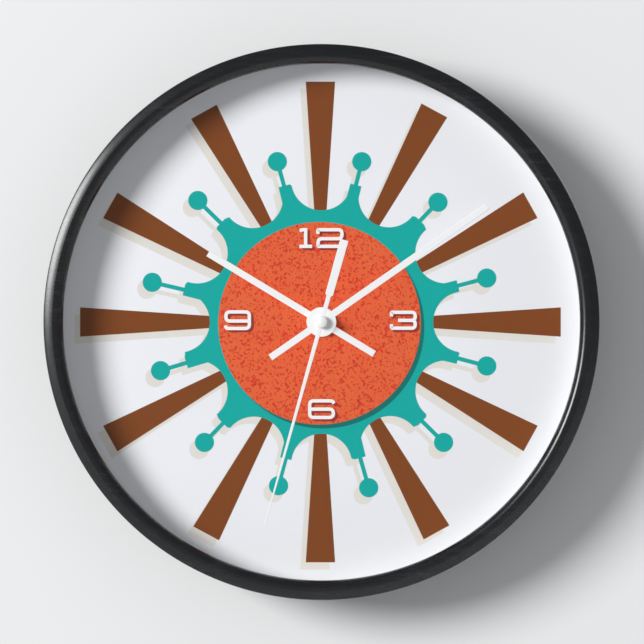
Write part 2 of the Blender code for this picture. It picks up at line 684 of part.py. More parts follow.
def add_posts(case):
    """Posts with pins for the middle plate, the motion wheel's post and the third arbor's bearing."""
    shoulder = CASE_TOP - PLATE_LEVEL + SEAT_GAP
    for number, centre in enumerate(POSTS):
        post_size = (POST_RADIUS, shoulder, POST_ROOT)
        pin_size = (PIN_RADIUS, shoulder - PIN_LENGTH, shoulder + CUT_MARGIN)
        join(case, cylinder(f"post_{number}", *post_size, segments=PIVOT_SEGMENTS, centre=centre))
        join(case, cylinder(f"pin_{number}", *pin_size, segments=PIN_SEGMENTS, centre=centre))
    motion_end = CASE_TOP - MOTION_LEVEL - MOTION_THICKNESS - MOTION_POST_PROUD
    motion_post = (PIN_RADIUS, motion_end, POST_ROOT)
    third_post = (POST_RADIUS, THIRD_POST_END, POST_ROOT)
    third_hole = (ARBOR_RADIUS + RUNNING_GAP, COVER_FRONT, THIRD_POST_END + PIVOT_HOLE_DEPTH)
    at_third = {"segments": PIVOT_SEGMENTS, "centre": ARBORS["third"]}
    join(case, cylinder("motion_post", *motion_post, segments=PIVOT_SEGMENTS, centre=ARBORS["motion"]))
    join(case, cylinder("third_post", *third_post, **at_third))
    cut(case, cylinder("third_pivot_hole", *third_hole, **at_third))


def build_middle_plate():
    """Plate that carries the rear train's front pivots, located on the case's four pins."""
    plastic = material("white_acetal", (0.8, 0.8, 0.76), 0.45)
    high = CASE_TOP - PLATE_LEVEL
    sides = (MIDDLE_PLATE_LEFT, MIDDLE_PLATE_RIGHT, CHAMBER_BOTTOM + SIDE_GAP, MIDDLE_PLATE_TOP)
    outline = rounded_rectangle(*sides, MIDDLE_PLATE_CORNER)
    plate = prism("middle_plate", [outline], high - PLATE_THICKNESS, high, finish=plastic)
    third_module = module_for(THIRD_SPACING, CENTRE_TEETH, THIRD_LEAVES)
    third_clear = third_module * (THIRD_LEAVES / 2 + ADDENDUM + PINION_SHIFT) + SIDE_GAP
    holes = [(f"pin_{number}", PIN_RADIUS + SLIDE_GAP, spot) for number, spot in enumerate(POSTS)]
    holes += [
        ("centre", SECONDS_ARBOR_RADIUS + RUNNING_GAP, ARBORS["centre"]),
        ("third", third_clear, ARBORS["third"]),
        ("intermediate", ARBOR_RADIUS + RUNNING_GAP, ARBORS["intermediate"]),
        ("rotor", ARBOR_RADIUS + RUNNING_GAP, ARBORS["rotor"]),
        ("knob", KNOB_STEM + SLIDE_GAP, ARBORS["knob"]),
    ]
    through = (high - PLATE_THICKNESS - CUT_MARGIN, high + CUT_MARGIN)
    for name, radius, spot in holes:
        segments = PIN_SEGMENTS if name.startswith("pin") else HOLE_SEGMENTS
        cut(plate, cylinder(f"plate_{name}_hole", radius, *through, segments=segments, centre=spot))


def build_back_cover():
    """Rear cover of the gear chamber, with bearing bosses and the knob's hole."""
    plastic = material("cover_plastic", (0.035, 0.035, 0.037), 0.5)
    half = CASE_SIDE / 2
    outline = rounded_rectangle(-half, half, BAY_TOP, half, CASE_CORNER, 4)
    cover = prism("movement_cover", [outline], COVER_BACK, COVER_FRONT, finish=plastic)
    boss_top = COVER_FRONT + BOSS_RISE
    boss_size = (POST_RADIUS, COVER_BACK + COVER_THICKNESS / 2, boss_top)
    hole_size = (ARBOR_RADIUS + RUNNING_GAP, COVER_FRONT + BOSS_FLOOR, boss_top + CUT_MARGIN)
    for name in ("centre", "intermediate", "third", "rotor"):
        spot = ARBORS[name]
        join(cover, cylinder(f"{name}_boss", *boss_size, segments=HOLE_SEGMENTS, centre=spot))
        cut(cover, cylinder(f"{name}_pivot_hole", *hole_size, segments=PIVOT_SEGMENTS, centre=spot))
    through = (COVER_BACK - CUT_MARGIN, COVER_FRONT + CUT_MARGIN)
    knob_hole = (KNOB_STEM + SLIDE_GAP, *through)
    cut(cover, cylinder("knob_hole", *knob_hole, segments=HOLE_SEGMENTS, centre=ARBORS["knob"]))


# ================================================================ gear train
def arbor_axis(name):
    """Empty on an arbor's axis."""
    spot = ARBORS[name]
    return new_empty(f"{name}_axis", (spot.x, spot.y, 0), CLOCK_AXIS)


def wheel(name, teeth, module, level, parent, finish=None, phase=0.0, thickness=WHEEL_THICKNESS):
    """Toothed wheel, its front face the given depth below the case's front."""
    outline = gear_outline(teeth, module, -PINION_SHIFT, phase)
    high = CASE_TOP - level
    return prism(name, [outline], high - thickness, high, parent, finish)


def pinion(name, leaves, module, level, parent, phase, thickness=WHEEL_THICKNESS, root=0.0, finish=None):
    """Small gear level with the wheel it drives, a little wider than that wheel on both faces.

    root is how much further back it reaches, to grow out of the wheel on its own arbor.
    """
    outline = gear_outline(leaves, module, PINION_SHIFT, phase, flank_steps=2)
    high = CASE_TOP - level + LEAF_OVERHANG
    low = high - thickness - 2 * LEAF_OVERHANG - root
    return prism(name, [outline], low, high, parent, finish)


def heading(start, end):
    """Direction from one arbor to another, in radians."""
    line = ARBORS[end] - ARBORS[start]
    return math.atan2(line.y, line.x)


def arbor(name, axis, top):
    """Thin pivot through a wheel, from the cover's bearing up to a height."""
    low = COVER_FRONT + PIVOT_HOLE_GAP
    return cylinder(name, ARBOR_RADIUS, low, top, axis, segments=PIVOT_SEGMENTS)


def build_rear_train():
    """Intermediate, seconds, third and centre wheels, each driven by the leaves of the one before."""
    white = material("gear_acetal", (0.85, 0.85, 0.8), 0.4)
    axes = {name: arbor_axis(name) for name in ("intermediate", "third", "rotor")}
    plate_bearing = CASE_TOP - PLATE_LEVEL - PLATE_THICKNESS + PLATE_PIVOT
    rotor_module = module_for(ROTOR_SPACING, INTERMEDIATE_TEETH, ROTOR_LEAVES)
    intermediate_module = module_for(INTERMEDIATE_SPACING, SECONDS_TEETH, INTERMEDIATE_LEAVES)
    seconds_module = module_for(THIRD_SPACING, THIRD_TEETH, SECONDS_LEAVES)
    third_module = module_for(THIRD_SPACING, CENTRE_TEETH, THIRD_LEAVES)

    build_rotor(axes["rotor"], rotor_module, plate_bearing, white)

    axis = axes["intermediate"]
    phase = meshing_phase(heading("rotor", "intermediate"), INTERMEDIATE_TEETH)
    size = (INTERMEDIATE_TEETH, rotor_module, INTERMEDIATE_LEVEL)
    item = wheel("intermediate_wheel", *size, axis, white, phase)
    root = INTERMEDIATE_LEVEL - SECONDS_LEVEL - WHEEL_THICKNESS
    phase = heading("intermediate", "centre")
    size = (INTERMEDIATE_LEAVES, intermediate_module, SECONDS_LEVEL)
    join(item, pinion("intermediate_leaves", *size, axis, phase, root=root))
    join(item, arbor("intermediate_arbor", axis, plate_bearing))

    phase = meshing_phase(phase, SECONDS_TEETH)
    size = (SECONDS_TEETH, intermediate_module, SECONDS_LEVEL)
    item = wheel("seconds_wheel", *size, CLOCK_AXIS, white, phase)
    root = SECONDS_LEVEL - THIRD_LEVEL - WHEEL_THICKNESS
    phase = heading("centre", "third")
    size = (SECONDS_LEAVES, seconds_module, THIRD_LEVEL)
    join(item, pinion("seconds_leaves", *size, CLOCK_AXIS, phase, root=root))
    join(item, arbor("seconds_arbor", CLOCK_AXIS, DIAL_FRONT + SECONDS_HAND_RISE + HAND_SHEET))

    axis = axes["third"]
    phase = meshing_phase(phase, THIRD_TEETH)
    size = (THIRD_TEETH, seconds_module, THIRD_LEVEL)
    item = wheel("third_wheel", *size, axis, white, phase)
    root = THIRD_LEVEL - CENTRE_LEVEL - WHEEL_THICKNESS
    phase = heading("third", "centre")
    size = (THIRD_LEAVES, third_module, CENTRE_LEVEL)
    join(item, pinion("third_leaves", *size, axis, phase, root=root))
    join(item, arbor("third_arbor", axis, THIRD_POST_END + PIVOT_HOLE_DEPTH - PIVOT_HOLE_GAP))

    phase = meshing_phase(phase, CENTRE_TEETH)
    size = (CENTRE_TEETH, third_module, CENTRE_LEVEL)
    item = wheel("centre_wheel", *size, CLOCK_AXIS, white, phase)
    cut(item, cylinder("centre_wheel_bore", MINUTE_TUBE_RADIUS + SLIDE_GAP, COVER_FRONT, CASE_TOP))


def build_rotor(axis, module, top, plastic):
    """Rotor: a ring magnet on a plastic arbor with the train's first leaves."""
    dark = material("rotor_magnet_ferrite", (0.1, 0.1, 0.11), 0.4, 0.5)
    phase = heading("rotor", "intermediate")
    item = pinion("rotor_pinion", ROTOR_LEAVES, module, INTERMEDIATE_LEVEL, axis, phase, finish=plastic)
    join(item, arbor("rotor_arbor", axis, top))
    middle = CASE_TOP - THIRD_LEVEL - STATOR_THICKNESS / 2
    low, high = middle - MAGNET_THICKNESS / 2, middle + MAGNET_THICKNESS / 2
    ring("rotor_magnet", MAGNET_RADIUS, ARBOR_RADIUS + RUNNING_GAP, low, high, axis, dark)


def build_motion_work():
    """Cannon pinion and tube, clutch spring, motion wheel, hour wheel and setting knob."""
    white = material("motion_acetal", (0.8, 0.78, 0.7), 0.4)
    steel = material("spring_steel", (0.6, 0.6, 0.6), 0.3, 1.0)
    motion_axis = arbor_axis("motion")
    hour_module = module_for(MOTION_SPACING, HOUR_TEETH, MOTION_LEAVES)
    above_hand = HAND_SHEET + COLLET_HEIGHT + TUBE_PROUD

    tube_top = DIAL_FRONT + MINUTE_HAND_RISE + above_hand
    tube_low = CASE_TOP - CENTRE_LEVEL - WHEEL_THICKNESS - TUBE_PROUD
    item = cylinder("minute_arbor", MINUTE_TUBE_RADIUS, tube_low, tube_top, finish=white)
    phase = heading("centre", "motion")
    size = (CANNON_LEAVES, MOTION_MODULE, MOTION_LEVEL)
    join(item, pinion("cannon_leaves", *size, CLOCK_AXIS, phase, MOTION_THICKNESS))
    bore = (SECONDS_ARBOR_RADIUS + SLIDE_GAP, COVER_FRONT, LENS_BACK)
    cut(item, cylinder("minute_bore", *bore, segments=HOLE_SEGMENTS))

    clutch_top = CASE_TOP - CLUTCH_LEVEL
    section = (CLUTCH_RADIUS, MINUTE_TUBE_RADIUS + SLIDE_GAP, clutch_top - CLUTCH_THICKNESS, clutch_top)
    ring("clutch_spring", *section, finish=steel)

    motion_phase = meshing_phase(phase, MOTION_TEETH)
    size = (MOTION_TEETH, MOTION_MODULE, MOTION_LEVEL)
    item = wheel("motion_wheel", *size, motion_axis, white, motion_phase, MOTION_THICKNESS)
    root = MOTION_LEVEL - HOUR_LEVEL - MOTION_THICKNESS
    phase = heading("motion", "centre")
    size = (MOTION_LEAVES, hour_module, HOUR_LEVEL)
    join(item, pinion("motion_leaves", *size, motion_axis, phase, MOTION_THICKNESS, root))
    bore = (PIN_RADIUS + RUNNING_GAP, COVER_FRONT, CASE_TOP)
    cut(item, cylinder("motion_bore", *bore, motion_axis, segments=PIVOT_SEGMENTS))

    phase = meshing_phase(phase, HOUR_TEETH)
    size = (HOUR_TEETH, hour_module, HOUR_LEVEL)
    item = wheel("hour_wheel", *size, CLOCK_AXIS, white, phase, MOTION_THICKNESS)
    tube_low = CASE_TOP - HOUR_LEVEL - MOTION_THICKNESS / 2
    tube_top = DIAL_FRONT + HOUR_HAND_RISE + above_hand
    join(item, cylinder("hour_tube", HOUR_TUBE_RADIUS, tube_low, tube_top))
    cut(item, cylinder("hour_bore", MINUTE_TUBE_RADIUS + SLIDE_GAP, COVER_FRONT, LENS_BACK))

    build_knob(motion_phase)


def build_knob(motion_phase):
    """Setting knob behind the cover, its stem carrying a pinion that meshes with the motion wheel."""
    plastic = material("knob_plastic", (0.05, 0.05, 0.052), 0.45)
    axis = arbor_axis("knob")
    outline = []
    half_ridge = KNOB_RIDGE_WIDTH / (2 * KNOB_RADIUS)
    for flute in range(KNOB_FLUTES):
        middle = 2 * math.pi * flute / KNOB_FLUTES
        outline += [polar(KNOB_RADIUS, middle - half_ridge), polar(KNOB_RADIUS, middle + half_ridge)]
        outline += [polar(KNOB_RADIUS - KNOB_FLUTE_DEPTH, middle + math.pi / KNOB_FLUTES)]
    high = COVER_BACK - SEAT_GAP
    item = prism("setting_knob", [outline], high - KNOB_RISE, high, axis, plastic)
    stem = (KNOB_STEM, high - KNOB_RISE / 2, CASE_TOP - MOTION_LEVEL + KNOB_STEM_PROUD)
    join(item, cylinder("knob_stem", *stem, axis, segments=HOLE_SEGMENTS))
    phase = meshing_phase(heading("motion", "knob"), KNOB_LEAVES, motion_phase, MOTION_TEETH)
    size = (KNOB_LEAVES, MOTION_MODULE, MOTION_LEVEL)
    join(item, pinion("knob_leaves", *size, axis, phase, MOTION_THICKNESS))


# ================================================================ motor and electrics
def build_stepper():
    """Stator plate, coil core, bobbin and winding of the stepper motor."""
    iron = material("soft_iron", (0.45, 0.45, 0.46), 0.35, 1.0)
    core_iron = material("core_iron", (0.42, 0.42, 0.43), 0.35, 1.0)
    nylon = material("bobbin_nylon", (0.7, 0.7, 0.66), 0.5)
    copper = material("enamelled_copper", (0.6, 0.25, 0.1), 0.3, 1.0)
    rotor = ARBORS["rotor"]
    half_coil = COIL_LENGTH / 2 + BOBBIN_FLANGE + SIDE_GAP
    inner_left, inner_right = COIL_CENTRE - half_coil, COIL_CENTRE + half_coil
    left, right = inner_left - STATOR_LEFT_LEG, inner_right + STATOR_RIGHT_LEG
    leg_top = COIL_HEIGHT + STATOR_LEG_RISE
    half_bar = MAGNET_RADIUS + STATOR_AIR_GAP + STATOR_WEB
    bar_top, bar_bottom = rotor.y + half_bar, rotor.y - half_bar
    outline = [
        (left, bar_bottom + STATOR_CORNER),
        (left + STATOR_CORNER, bar_bottom),
        (right - STATOR_CORNER, bar_bottom),
        (right, bar_bottom + STATOR_CORNER),
        (right, leg_top),
        (inner_right, leg_top),
        (inner_right, bar_top),
        (inner_left, bar_top),
        (inner_left, leg_top),
        (left, leg_top),
    ]
    high = CASE_TOP - THIRD_LEVEL
    hole = circle(MAGNET_RADIUS + STATOR_AIR_GAP, 24, rotor)
    prism("stator", [outline, hole], high - STATOR_THICKNESS, high, finish=iron)

    core_high = high - STATOR_THICKNESS - SEAT_GAP
    half_core = CORE_SIDE / 2
    ends = (left + CORE_INSET, right - CORE_INSET)
    bar = rectangle(*ends, COIL_HEIGHT - half_core, COIL_HEIGHT + half_core)
    prism("coil_core", [bar], core_high - CORE_SIDE, core_high, finish=core_iron)

    coil_axis = new_empty("coil_axis", (COIL_CENTRE, COIL_HEIGHT, core_high - half_core), CLOCK_AXIS)
    coil_axis.rotation_euler = (0, math.radians(90), 0)
    bore = CORE_SIDE / math.sqrt(2) + BOBBIN_BORE_GAP
    barrel = bore + BOBBIN_BARREL_WALL
    rim = COIL_RADIUS + BOBBIN_FLANGE_RISE
    end = COIL_LENGTH / 2
    profile = [
        (rim, end + BOBBIN_FLANGE),
        (rim, end),
        (barrel, end),
        (barrel, -end),
        (rim, -end),
        (rim, -end - BOBBIN_FLANGE),
        (bore, -end - BOBBIN_FLANGE),
        (bore, end + BOBBIN_FLANGE),
    ]
    turned("coil_bobbin", profile, coil_axis, nylon)
    section = (COIL_RADIUS, barrel + SEAT_GAP, SEAT_GAP - end, end - SEAT_GAP)
    ring("coil_winding", *section, coil_axis, copper)


def build_electrics():
    """Circuit board with its chip and crystal."""
    laminate = material("circuit_laminate", (0.05, 0.25, 0.1), 0.45)
    epoxy = material("black_epoxy", (0.015, 0.015, 0.015), 0.35)
    can = material("crystal_can", (0.75, 0.75, 0.76), 0.25, 1.0)
    length, width, thickness = BOARD_SIZE
    left, bottom = BOARD_CORNER
    high = CASE_TOP - BOARD_LEVEL
    outline = rectangle(left, left + length, bottom, bottom + width)
    prism("circuit_board", [outline], high - thickness, high, finish=laminate)
    back = high - thickness - SEAT_GAP
    middle = bottom + width / 2
    chip_axis = new_empty("chip_axis", (left + CHIP_PLACE, middle, back), CLOCK_AXIS)
    dome = [(0, 0), (CHIP_RADIUS, 0), (CHIP_TOP_RADIUS, -CHIP_SHOULDER), (0, -CHIP_HEIGHT)]
    turned("controller_chip", dome, chip_axis, epoxy, segments=HOLE_SEGMENTS, closed=False)
    crystal_place = (left + CRYSTAL_PLACE, middle, back - CRYSTAL_RADIUS)
    crystal_axis = new_empty("crystal_axis", crystal_place, CLOCK_AXIS)
    crystal_axis.rotation_euler = (0, math.radians(90), 0)
    half = CRYSTAL_LENGTH / 2
    cylinder("quartz_crystal", CRYSTAL_RADIUS, -half, half, crystal_axis, can, segments=PIVOT_SEGMENTS)


def build_battery():
    """Round cell lying in its bay, nub to the right, between two sprung contacts."""
    jacket = material("cell_jacket", (0.35, 0.35, 0.36), 0.35, 0.3)
    nickel = material("nickel_plated_spring", (0.7, 0.68, 0.62), 0.3, 1.0)
    centre_y = BAY_BOTTOM + BAY_WIDTH / 2
    centre_z = BAY_FLOOR - SEAT_GAP - CELL_RADIUS
    nub_end = CHAMBER_SIDE - CONTACT_SHEET - 3 * SEAT_GAP
    cell_axis = new_empty("cell_axis", (nub_end, centre_y, centre_z), CLOCK_AXIS)
    cell_axis.rotation_euler = (0, math.radians(90), 0)
    profile = [
        (0, 0),
        (CELL_NUB_RADIUS, 0),
        (CELL_NUB_RADIUS, -CELL_NUB),
        (CELL_RADIUS - CELL_EDGE, -CELL_NUB),
        (CELL_RADIUS, -CELL_NUB - CELL_EDGE),
        (CELL_RADIUS, -CELL_LENGTH + CELL_EDGE),
        (CELL_RADIUS - CELL_EDGE, -CELL_LENGTH),
        (0, -CELL_LENGTH),
    ]
    turned("battery", profile, cell_axis, jacket, segments=32, closed=False)

    wall = CHAMBER_SIDE - SEAT_GAP - CONTACT_SHEET / 2
    foot, tail = centre_y - CONTACT_WIDTH / 2, CHAMBER_BOTTOM + CONTACT_TAIL
    bulge = CONTACT_SPRING - wall
    contact("positive_contact", [(wall, foot), (wall, tail)], nickel)
    spring = [
        (-wall, foot),
        (bulge, centre_y - CONTACT_FLAT / 2),
        (bulge, centre_y + CONTACT_FLAT / 2),
        (-wall, foot + CONTACT_WIDTH),
        (-wall, tail),
    ]
    contact("negative_contact", spring, nickel)


def contact(name, line, finish):
    """Battery contact: an upright strip along a line of points in the dial's plane."""
    edge = [(x, y, COVER_FRONT + CONTACT_LIFT) for x, y in line]
    bent_sheet(name, edge, (0, 0, CONTACT_HEIGHT), CONTACT_SHEET, finish)


# ================================================================ hands
def hand_axis(name, clock_degrees):
    """Empty on the clock's axis with +Y along the hand."""
    axis = new_empty(name, (0, 0, 0), CLOCK_AXIS)
    axis.rotation_euler = (0, 0, -math.radians(clock_degrees))
    return axis


def build_baton_hand(name, clock_degrees, tip, tail, rise, tube_radius):
    """Flat baton with a round hub, pushed on its tube with a raised collet."""
    white = material(f"{name}_paint", (0.8, 0.8, 0.8), 0.5)
    axis = hand_axis(f"{name}_axis", clock_degrees)
    low = DIAL_FRONT + rise
    high = low + HAND_SHEET
    item = cylinder(name, HAND_HUB_RADIUS, low, high, axis, white, segments=36)
    bar = rectangle(-HAND_WIDTH / 2, HAND_WIDTH / 2, -tail, tip)
    join(item, prism(f"{name}_bar", [bar], low, high, axis))
    collet = tube_radius + SLIDE_GAP + COLLET_WALL
    join(item, cylinder(f"{name}_collet", collet, low + HAND_SHEET / 2, high + COLLET_HEIGHT, axis))
    through = (low - CUT_MARGIN, high + COLLET_HEIGHT + CUT_MARGIN)
    cut(item, cylinder(f"{name}_bore", tube_radius + SLIDE_GAP, *through, axis))


def build_seconds_hand():
    """Tapering needle with a paddle tail and a small cap that hides the arbor's end."""
    white = material("seconds_hand_paint", (0.8, 0.8, 0.8), 0.5)
    axis = hand_axis("seconds_hand_axis", SECONDS_HAND_ANGLE)
    low = DIAL_FRONT + SECONDS_HAND_RISE
    high = low + HAND_SHEET
    root, tip = NEEDLE_ROOT_WIDTH / 2, NEEDLE_TIP_WIDTH / 2
    near, far = PADDLE_NEAR_WIDTH / 2, PADDLE_FAR_WIDTH / 2
    side = [
        (tip, SECONDS_TIP),
        (root, 0),
        (root, -PADDLE_START),
        (near, -PADDLE_START - PADDLE_SHOULDER),
        (far, -SECONDS_TAIL),
    ]
    outline = side + [(-x, y) for x, y in reversed(side)]
    item = prism("seconds_hand", [outline], low, high, axis, white)
    cap_top = low + CAP_HEIGHT
    cap = [(0, cap_top)]
    cap += [(CAP_RADIUS - inward, cap_top - down) for inward, down in CAP_ROUND]
    cap += [(CAP_RADIUS, low - CAP_SKIRT), (0, low - CAP_SKIRT)]
    join(item, turned("seconds_cap", cap, axis, closed=False))
    socket = (SECONDS_ARBOR_RADIUS + RUNNING_GAP, low - CUT_MARGIN, high + SOCKET_FLOOR)
    cut(item, cylinder("seconds_socket", *socket, axis, segments=HOLE_SEGMENTS))


def build_hands():
    """Hour, minute and seconds hand, from the dial outwards."""
    hour_size = (HOUR_TIP, HOUR_TAIL, HOUR_HAND_RISE, HOUR_TUBE_RADIUS)
    minute_size = (MINUTE_TIP, MINUTE_TAIL, MINUTE_HAND_RISE, MINUTE_TUBE_RADIUS)
    build_baton_hand("hour_hand", HOUR_HAND_ANGLE, *hour_size)
    build_baton_hand("minute_hand", MINUTE_HAND_ANGLE, *minute_size)
    build_seconds_hand()


def main():
    """Build every piece, from the frame inwards and then the moving ones."""
    build_frame()
    build_glazing()
    build_dial()
    build_retaining_points()
    build_hanger()
    build_shaft_fixings()
    build_case()
    build_middle_plate()
    build_back_cover()
    build_rear_train()
    build_motion_work()
    build_stepper()
    build_electrics()
    build_battery()
    build_hands()


main()
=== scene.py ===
"""Looks of a round wall clock: a black wooden frame, a printed sunburst dial, a quartz movement.

The clock hangs on the XZ plane and faces -Y. Classes hold their sizes in millimetres. A point on
the clock is (right, up, height): right and up on the dial from its centre, and height above the
wall. It becomes metres in the row frame when its mesh is made. Directions on the dial are given
in degrees clockwise from twelve.
"""

from __future__ import annotations

import logging
import math
from dataclasses import dataclass
from enum import Enum
from typing import Sequence

import bmesh
import bpy
import numpy as np
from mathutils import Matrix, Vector
from mathutils.geometry import tessellate_polygon


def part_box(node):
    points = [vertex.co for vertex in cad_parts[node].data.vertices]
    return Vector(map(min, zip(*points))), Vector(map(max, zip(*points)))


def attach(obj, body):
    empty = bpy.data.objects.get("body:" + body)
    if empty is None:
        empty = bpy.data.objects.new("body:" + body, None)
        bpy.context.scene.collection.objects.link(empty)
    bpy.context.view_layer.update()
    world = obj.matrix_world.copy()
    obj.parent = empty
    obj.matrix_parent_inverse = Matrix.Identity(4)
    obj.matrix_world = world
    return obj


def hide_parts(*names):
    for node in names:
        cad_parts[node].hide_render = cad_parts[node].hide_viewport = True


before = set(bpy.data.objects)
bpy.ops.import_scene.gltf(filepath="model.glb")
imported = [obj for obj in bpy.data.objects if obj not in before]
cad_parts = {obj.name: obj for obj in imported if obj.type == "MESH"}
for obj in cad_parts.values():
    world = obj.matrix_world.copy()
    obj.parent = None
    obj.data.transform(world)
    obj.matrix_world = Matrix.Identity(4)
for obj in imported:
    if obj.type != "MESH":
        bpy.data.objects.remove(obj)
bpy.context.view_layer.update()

MM = 0.001
AXIS_UP = sum(corner.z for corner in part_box("lens")) / 2
WELD = 2e-7
Colour = tuple[float, float, float]
logging.basicConfig(level=logging.INFO, format="%(message)s")
log = logging.getLogger("wall_clock")


def linear(red: int, green: int, blue: int) -> Colour:
    """Linear colour of three display values from 0 to 255.

    Args:
        red: red value.
        green: green value.
        blue: blue value.

    Returns:
        The colour as three numbers from 0 to 1.
    """
    values = np.array([red, green, blue]) / 255
    low, high = values / 12.92, ((values + 0.055) / 1.055) ** 2.4
    return tuple(float(v) for v in np.where(values <= 0.04045, low, high))


def shaded(colour: Colour, factor: float) -> Colour:
    """Colour times a factor, no channel above 1."""
    return tuple(min(1.0, v * factor) for v in colour)


def mixed(first: Colour, second: Colour, share: float) -> Colour:
    """Colour a share of the way from the first to the second."""
    return tuple(a + (b - a) * share for a, b in zip(first, second))


# ---------------------------------------------------------------- shader bench
class Sock:
    """An output socket of a material, with arithmetic that adds Math nodes."""

    def __init__(self, bench: Bench, socket: bpy.types.NodeSocket) -> None:
        """Wrap a socket of the bench's node tree."""
        self.bench = bench
        self.socket = socket

    def _math(self, operation: str, *values: Sock | float) -> Sock:
        """Result of one Math node on the given values."""
        return self.bench.node("ShaderNodeMath", {"operation": operation}, dict(enumerate(values)))

    def __add__(self, other: Sock | float) -> Sock:
        """Sum."""
        return self._math("ADD", self, other)

    __radd__ = __add__

    def __mul__(self, other: Sock | float) -> Sock:
        """Product."""
        return self._math("MULTIPLY", self, other)

    __rmul__ = __mul__

    def __sub__(self, other: Sock | float) -> Sock:
        """Difference."""
        return self._math("SUBTRACT", self, other)

    def __rsub__(self, other: float) -> Sock:
        """Difference from a number."""
        return self._math("SUBTRACT", other, self)

    def __truediv__(self, other: Sock | float) -> Sock:
        """Quotient."""
        return self._math("DIVIDE", self, other)

    def __gt__(self, other: Sock | float) -> Sock:
        """1 where this is larger, else 0."""
        return self._math("GREATER_THAN", self, other)

    def sine(self) -> Sock:
        """Sine of the value in radians."""
        return self._math("SINE", self)

    def most(self, other: Sock | float) -> Sock:
        """The larger of two values."""
        return self._math("MAXIMUM", self, other)

    def step(self, low: float, high: float) -> Sock:
        """Smooth rise from 0 at low to 1 at high."""
        settings = {"interpolation_type": "SMOOTHSTEP"}
        return self.bench.node("ShaderNodeMapRange", settings, {0: self, 1: low, 2: high})


class Bench:
    """A material under construction: its Principled shader and the nodes that feed it."""

    def __init__(self, name: str) -> None:
        """Start a material with a Principled shader and an output.

        Args:
            name: the material's name.
        """
        self.material = bpy.data.materials.new(name)
        self.material.use_nodes = True
        self.tree = self.material.node_tree
        self.tree.nodes.clear()
        self.shader = self.tree.nodes.new("ShaderNodeBsdfPrincipled")
        self.output = self.tree.nodes.new("ShaderNodeOutputMaterial")
        self.tree.links.new(self.shader.outputs[0], self.output.inputs[0])

    def node(
        self,
        kind: str,
        settings: dict[str, object] | None = None,
        inputs: dict[int | str, object] | None = None,
        output: int | str = 0,
    ) -> Sock:
        """Add any node.

        Args:
            kind: node type.
            settings: properties, set before the inputs.
            inputs: values or sockets by input index or name.
            output: which output to return.

        Returns:
            The chosen output.
        """
        made = self.tree.nodes.new(kind)
        for key, value in (settings or {}).items():
            setattr(made, key, value)
        for key, value in (inputs or {}).items():
            self.feed(made.inputs[key], value)
        return Sock(self, made.outputs[output])

    def feed(self, socket: bpy.types.NodeSocket, value: object) -> None:
        """Link a socket to another, or set its value.

        Args:
            socket: the input.
            value: a socket, or a number, colour or vector.
        """
        if isinstance(value, Sock):
            self.tree.links.new(value.socket, socket)
        else:
            socket.default_value = value

    def place(self, scale: Sequence[float] = (1, 1, 1), turn: Sequence[float] = (0, 0, 0)) -> Sock:
        """Object coordinates in metres, scaled along each axis and turned."""
        point = self.node("ShaderNodeTexCoord", output="Object")
        return self.node("ShaderNodeMapping", {}, {"Vector": point, "Scale": scale, "Rotation": turn})

    def axes(self) -> tuple[Sock, Sock, Sock]:
        """The three object coordinates as numbers, in metres.

        Returns:
            Right, towards the wall, and up.
        """
        point = self.node("ShaderNodeTexCoord", output="Object")
        split = self.node("ShaderNodeSeparateXYZ", {}, {0: point}).socket.node
        return tuple(Sock(self, socket) for socket in split.outputs)

    def noise(self, size: float | Sequence[float], detail: float = 2.0, turn: Sequence[float] = (0, 0, 0)) -> Sock:
        """Noise from 0 to 1.

        Args:
            size: size of its features in mm, one number or one for each axis.
            detail: number of finer layers.
            turn: turn of the pattern in radians.

        Returns:
            The noise value.
        """
        sizes = np.broadcast_to(np.asarray(size, float), 3)
        scale = tuple(float(v) for v in 1 / (sizes * MM))
        inputs = {"Vector": self.place(scale, turn), "Scale": 1.0, "Detail": detail}
        return self.node("ShaderNodeTexNoise", {}, inputs)

    def blend(self, share: Sock | float, first: object, second: object) -> Sock:
        """Colour mixed from two, by share."""
        settings = {"data_type": "RGBA"}
        return self.node("ShaderNodeMix", settings, {0: share, 6: rgba(first), 7: rgba(second)}, 2)

    def dress(self, **inputs: object) -> None:
        """Feed the Principled shader by input name, with underscores for spaces."""
        for name, value in inputs.items():
            label = name.replace("_", " ").title().replace("Ior", "IOR")
            self.feed(self.shader.inputs[label], rgba(value))

    def bump(self, height: Sock, depth: float, strength: float = 1.0) -> None:
        """Feed the shader's normal from a height between 0 and 1, depth mm deep."""
        inputs = {"Height": height, "Distance": depth * MM, "Strength": strength}
        self.feed(self.shader.inputs["Normal"], self.node("ShaderNodeBump", {}, inputs))


def rgba(value: object) -> object:
    """A three-number colour with an alpha of 1; anything else as it is."""
    return (*value, 1.0) if isinstance(value, tuple) and len(value) == 3 else value


# ---------------------------------------------------------------- finishes
@dataclass(frozen=True)
class Finish:
    """A surface finish; subclasses say how its nodes are laid out."""

    name: str
    colour: Colour
    roughness: float = 0.5

    def lay(self, bench: Bench) -> None:
        """Dress the bench's shader."""
        raise NotImplementedError

    def material(self) -> bpy.types.Material:
        """The finish's material, made once.

        Returns:
            The material, shared by every piece with this finish.
        """
        name = f"{self.name}_finish"
        found = bpy.data.materials.get(name)
        if found is None:
            bench = Bench(name)
            self.lay(bench)
            found = bench.material
        return found


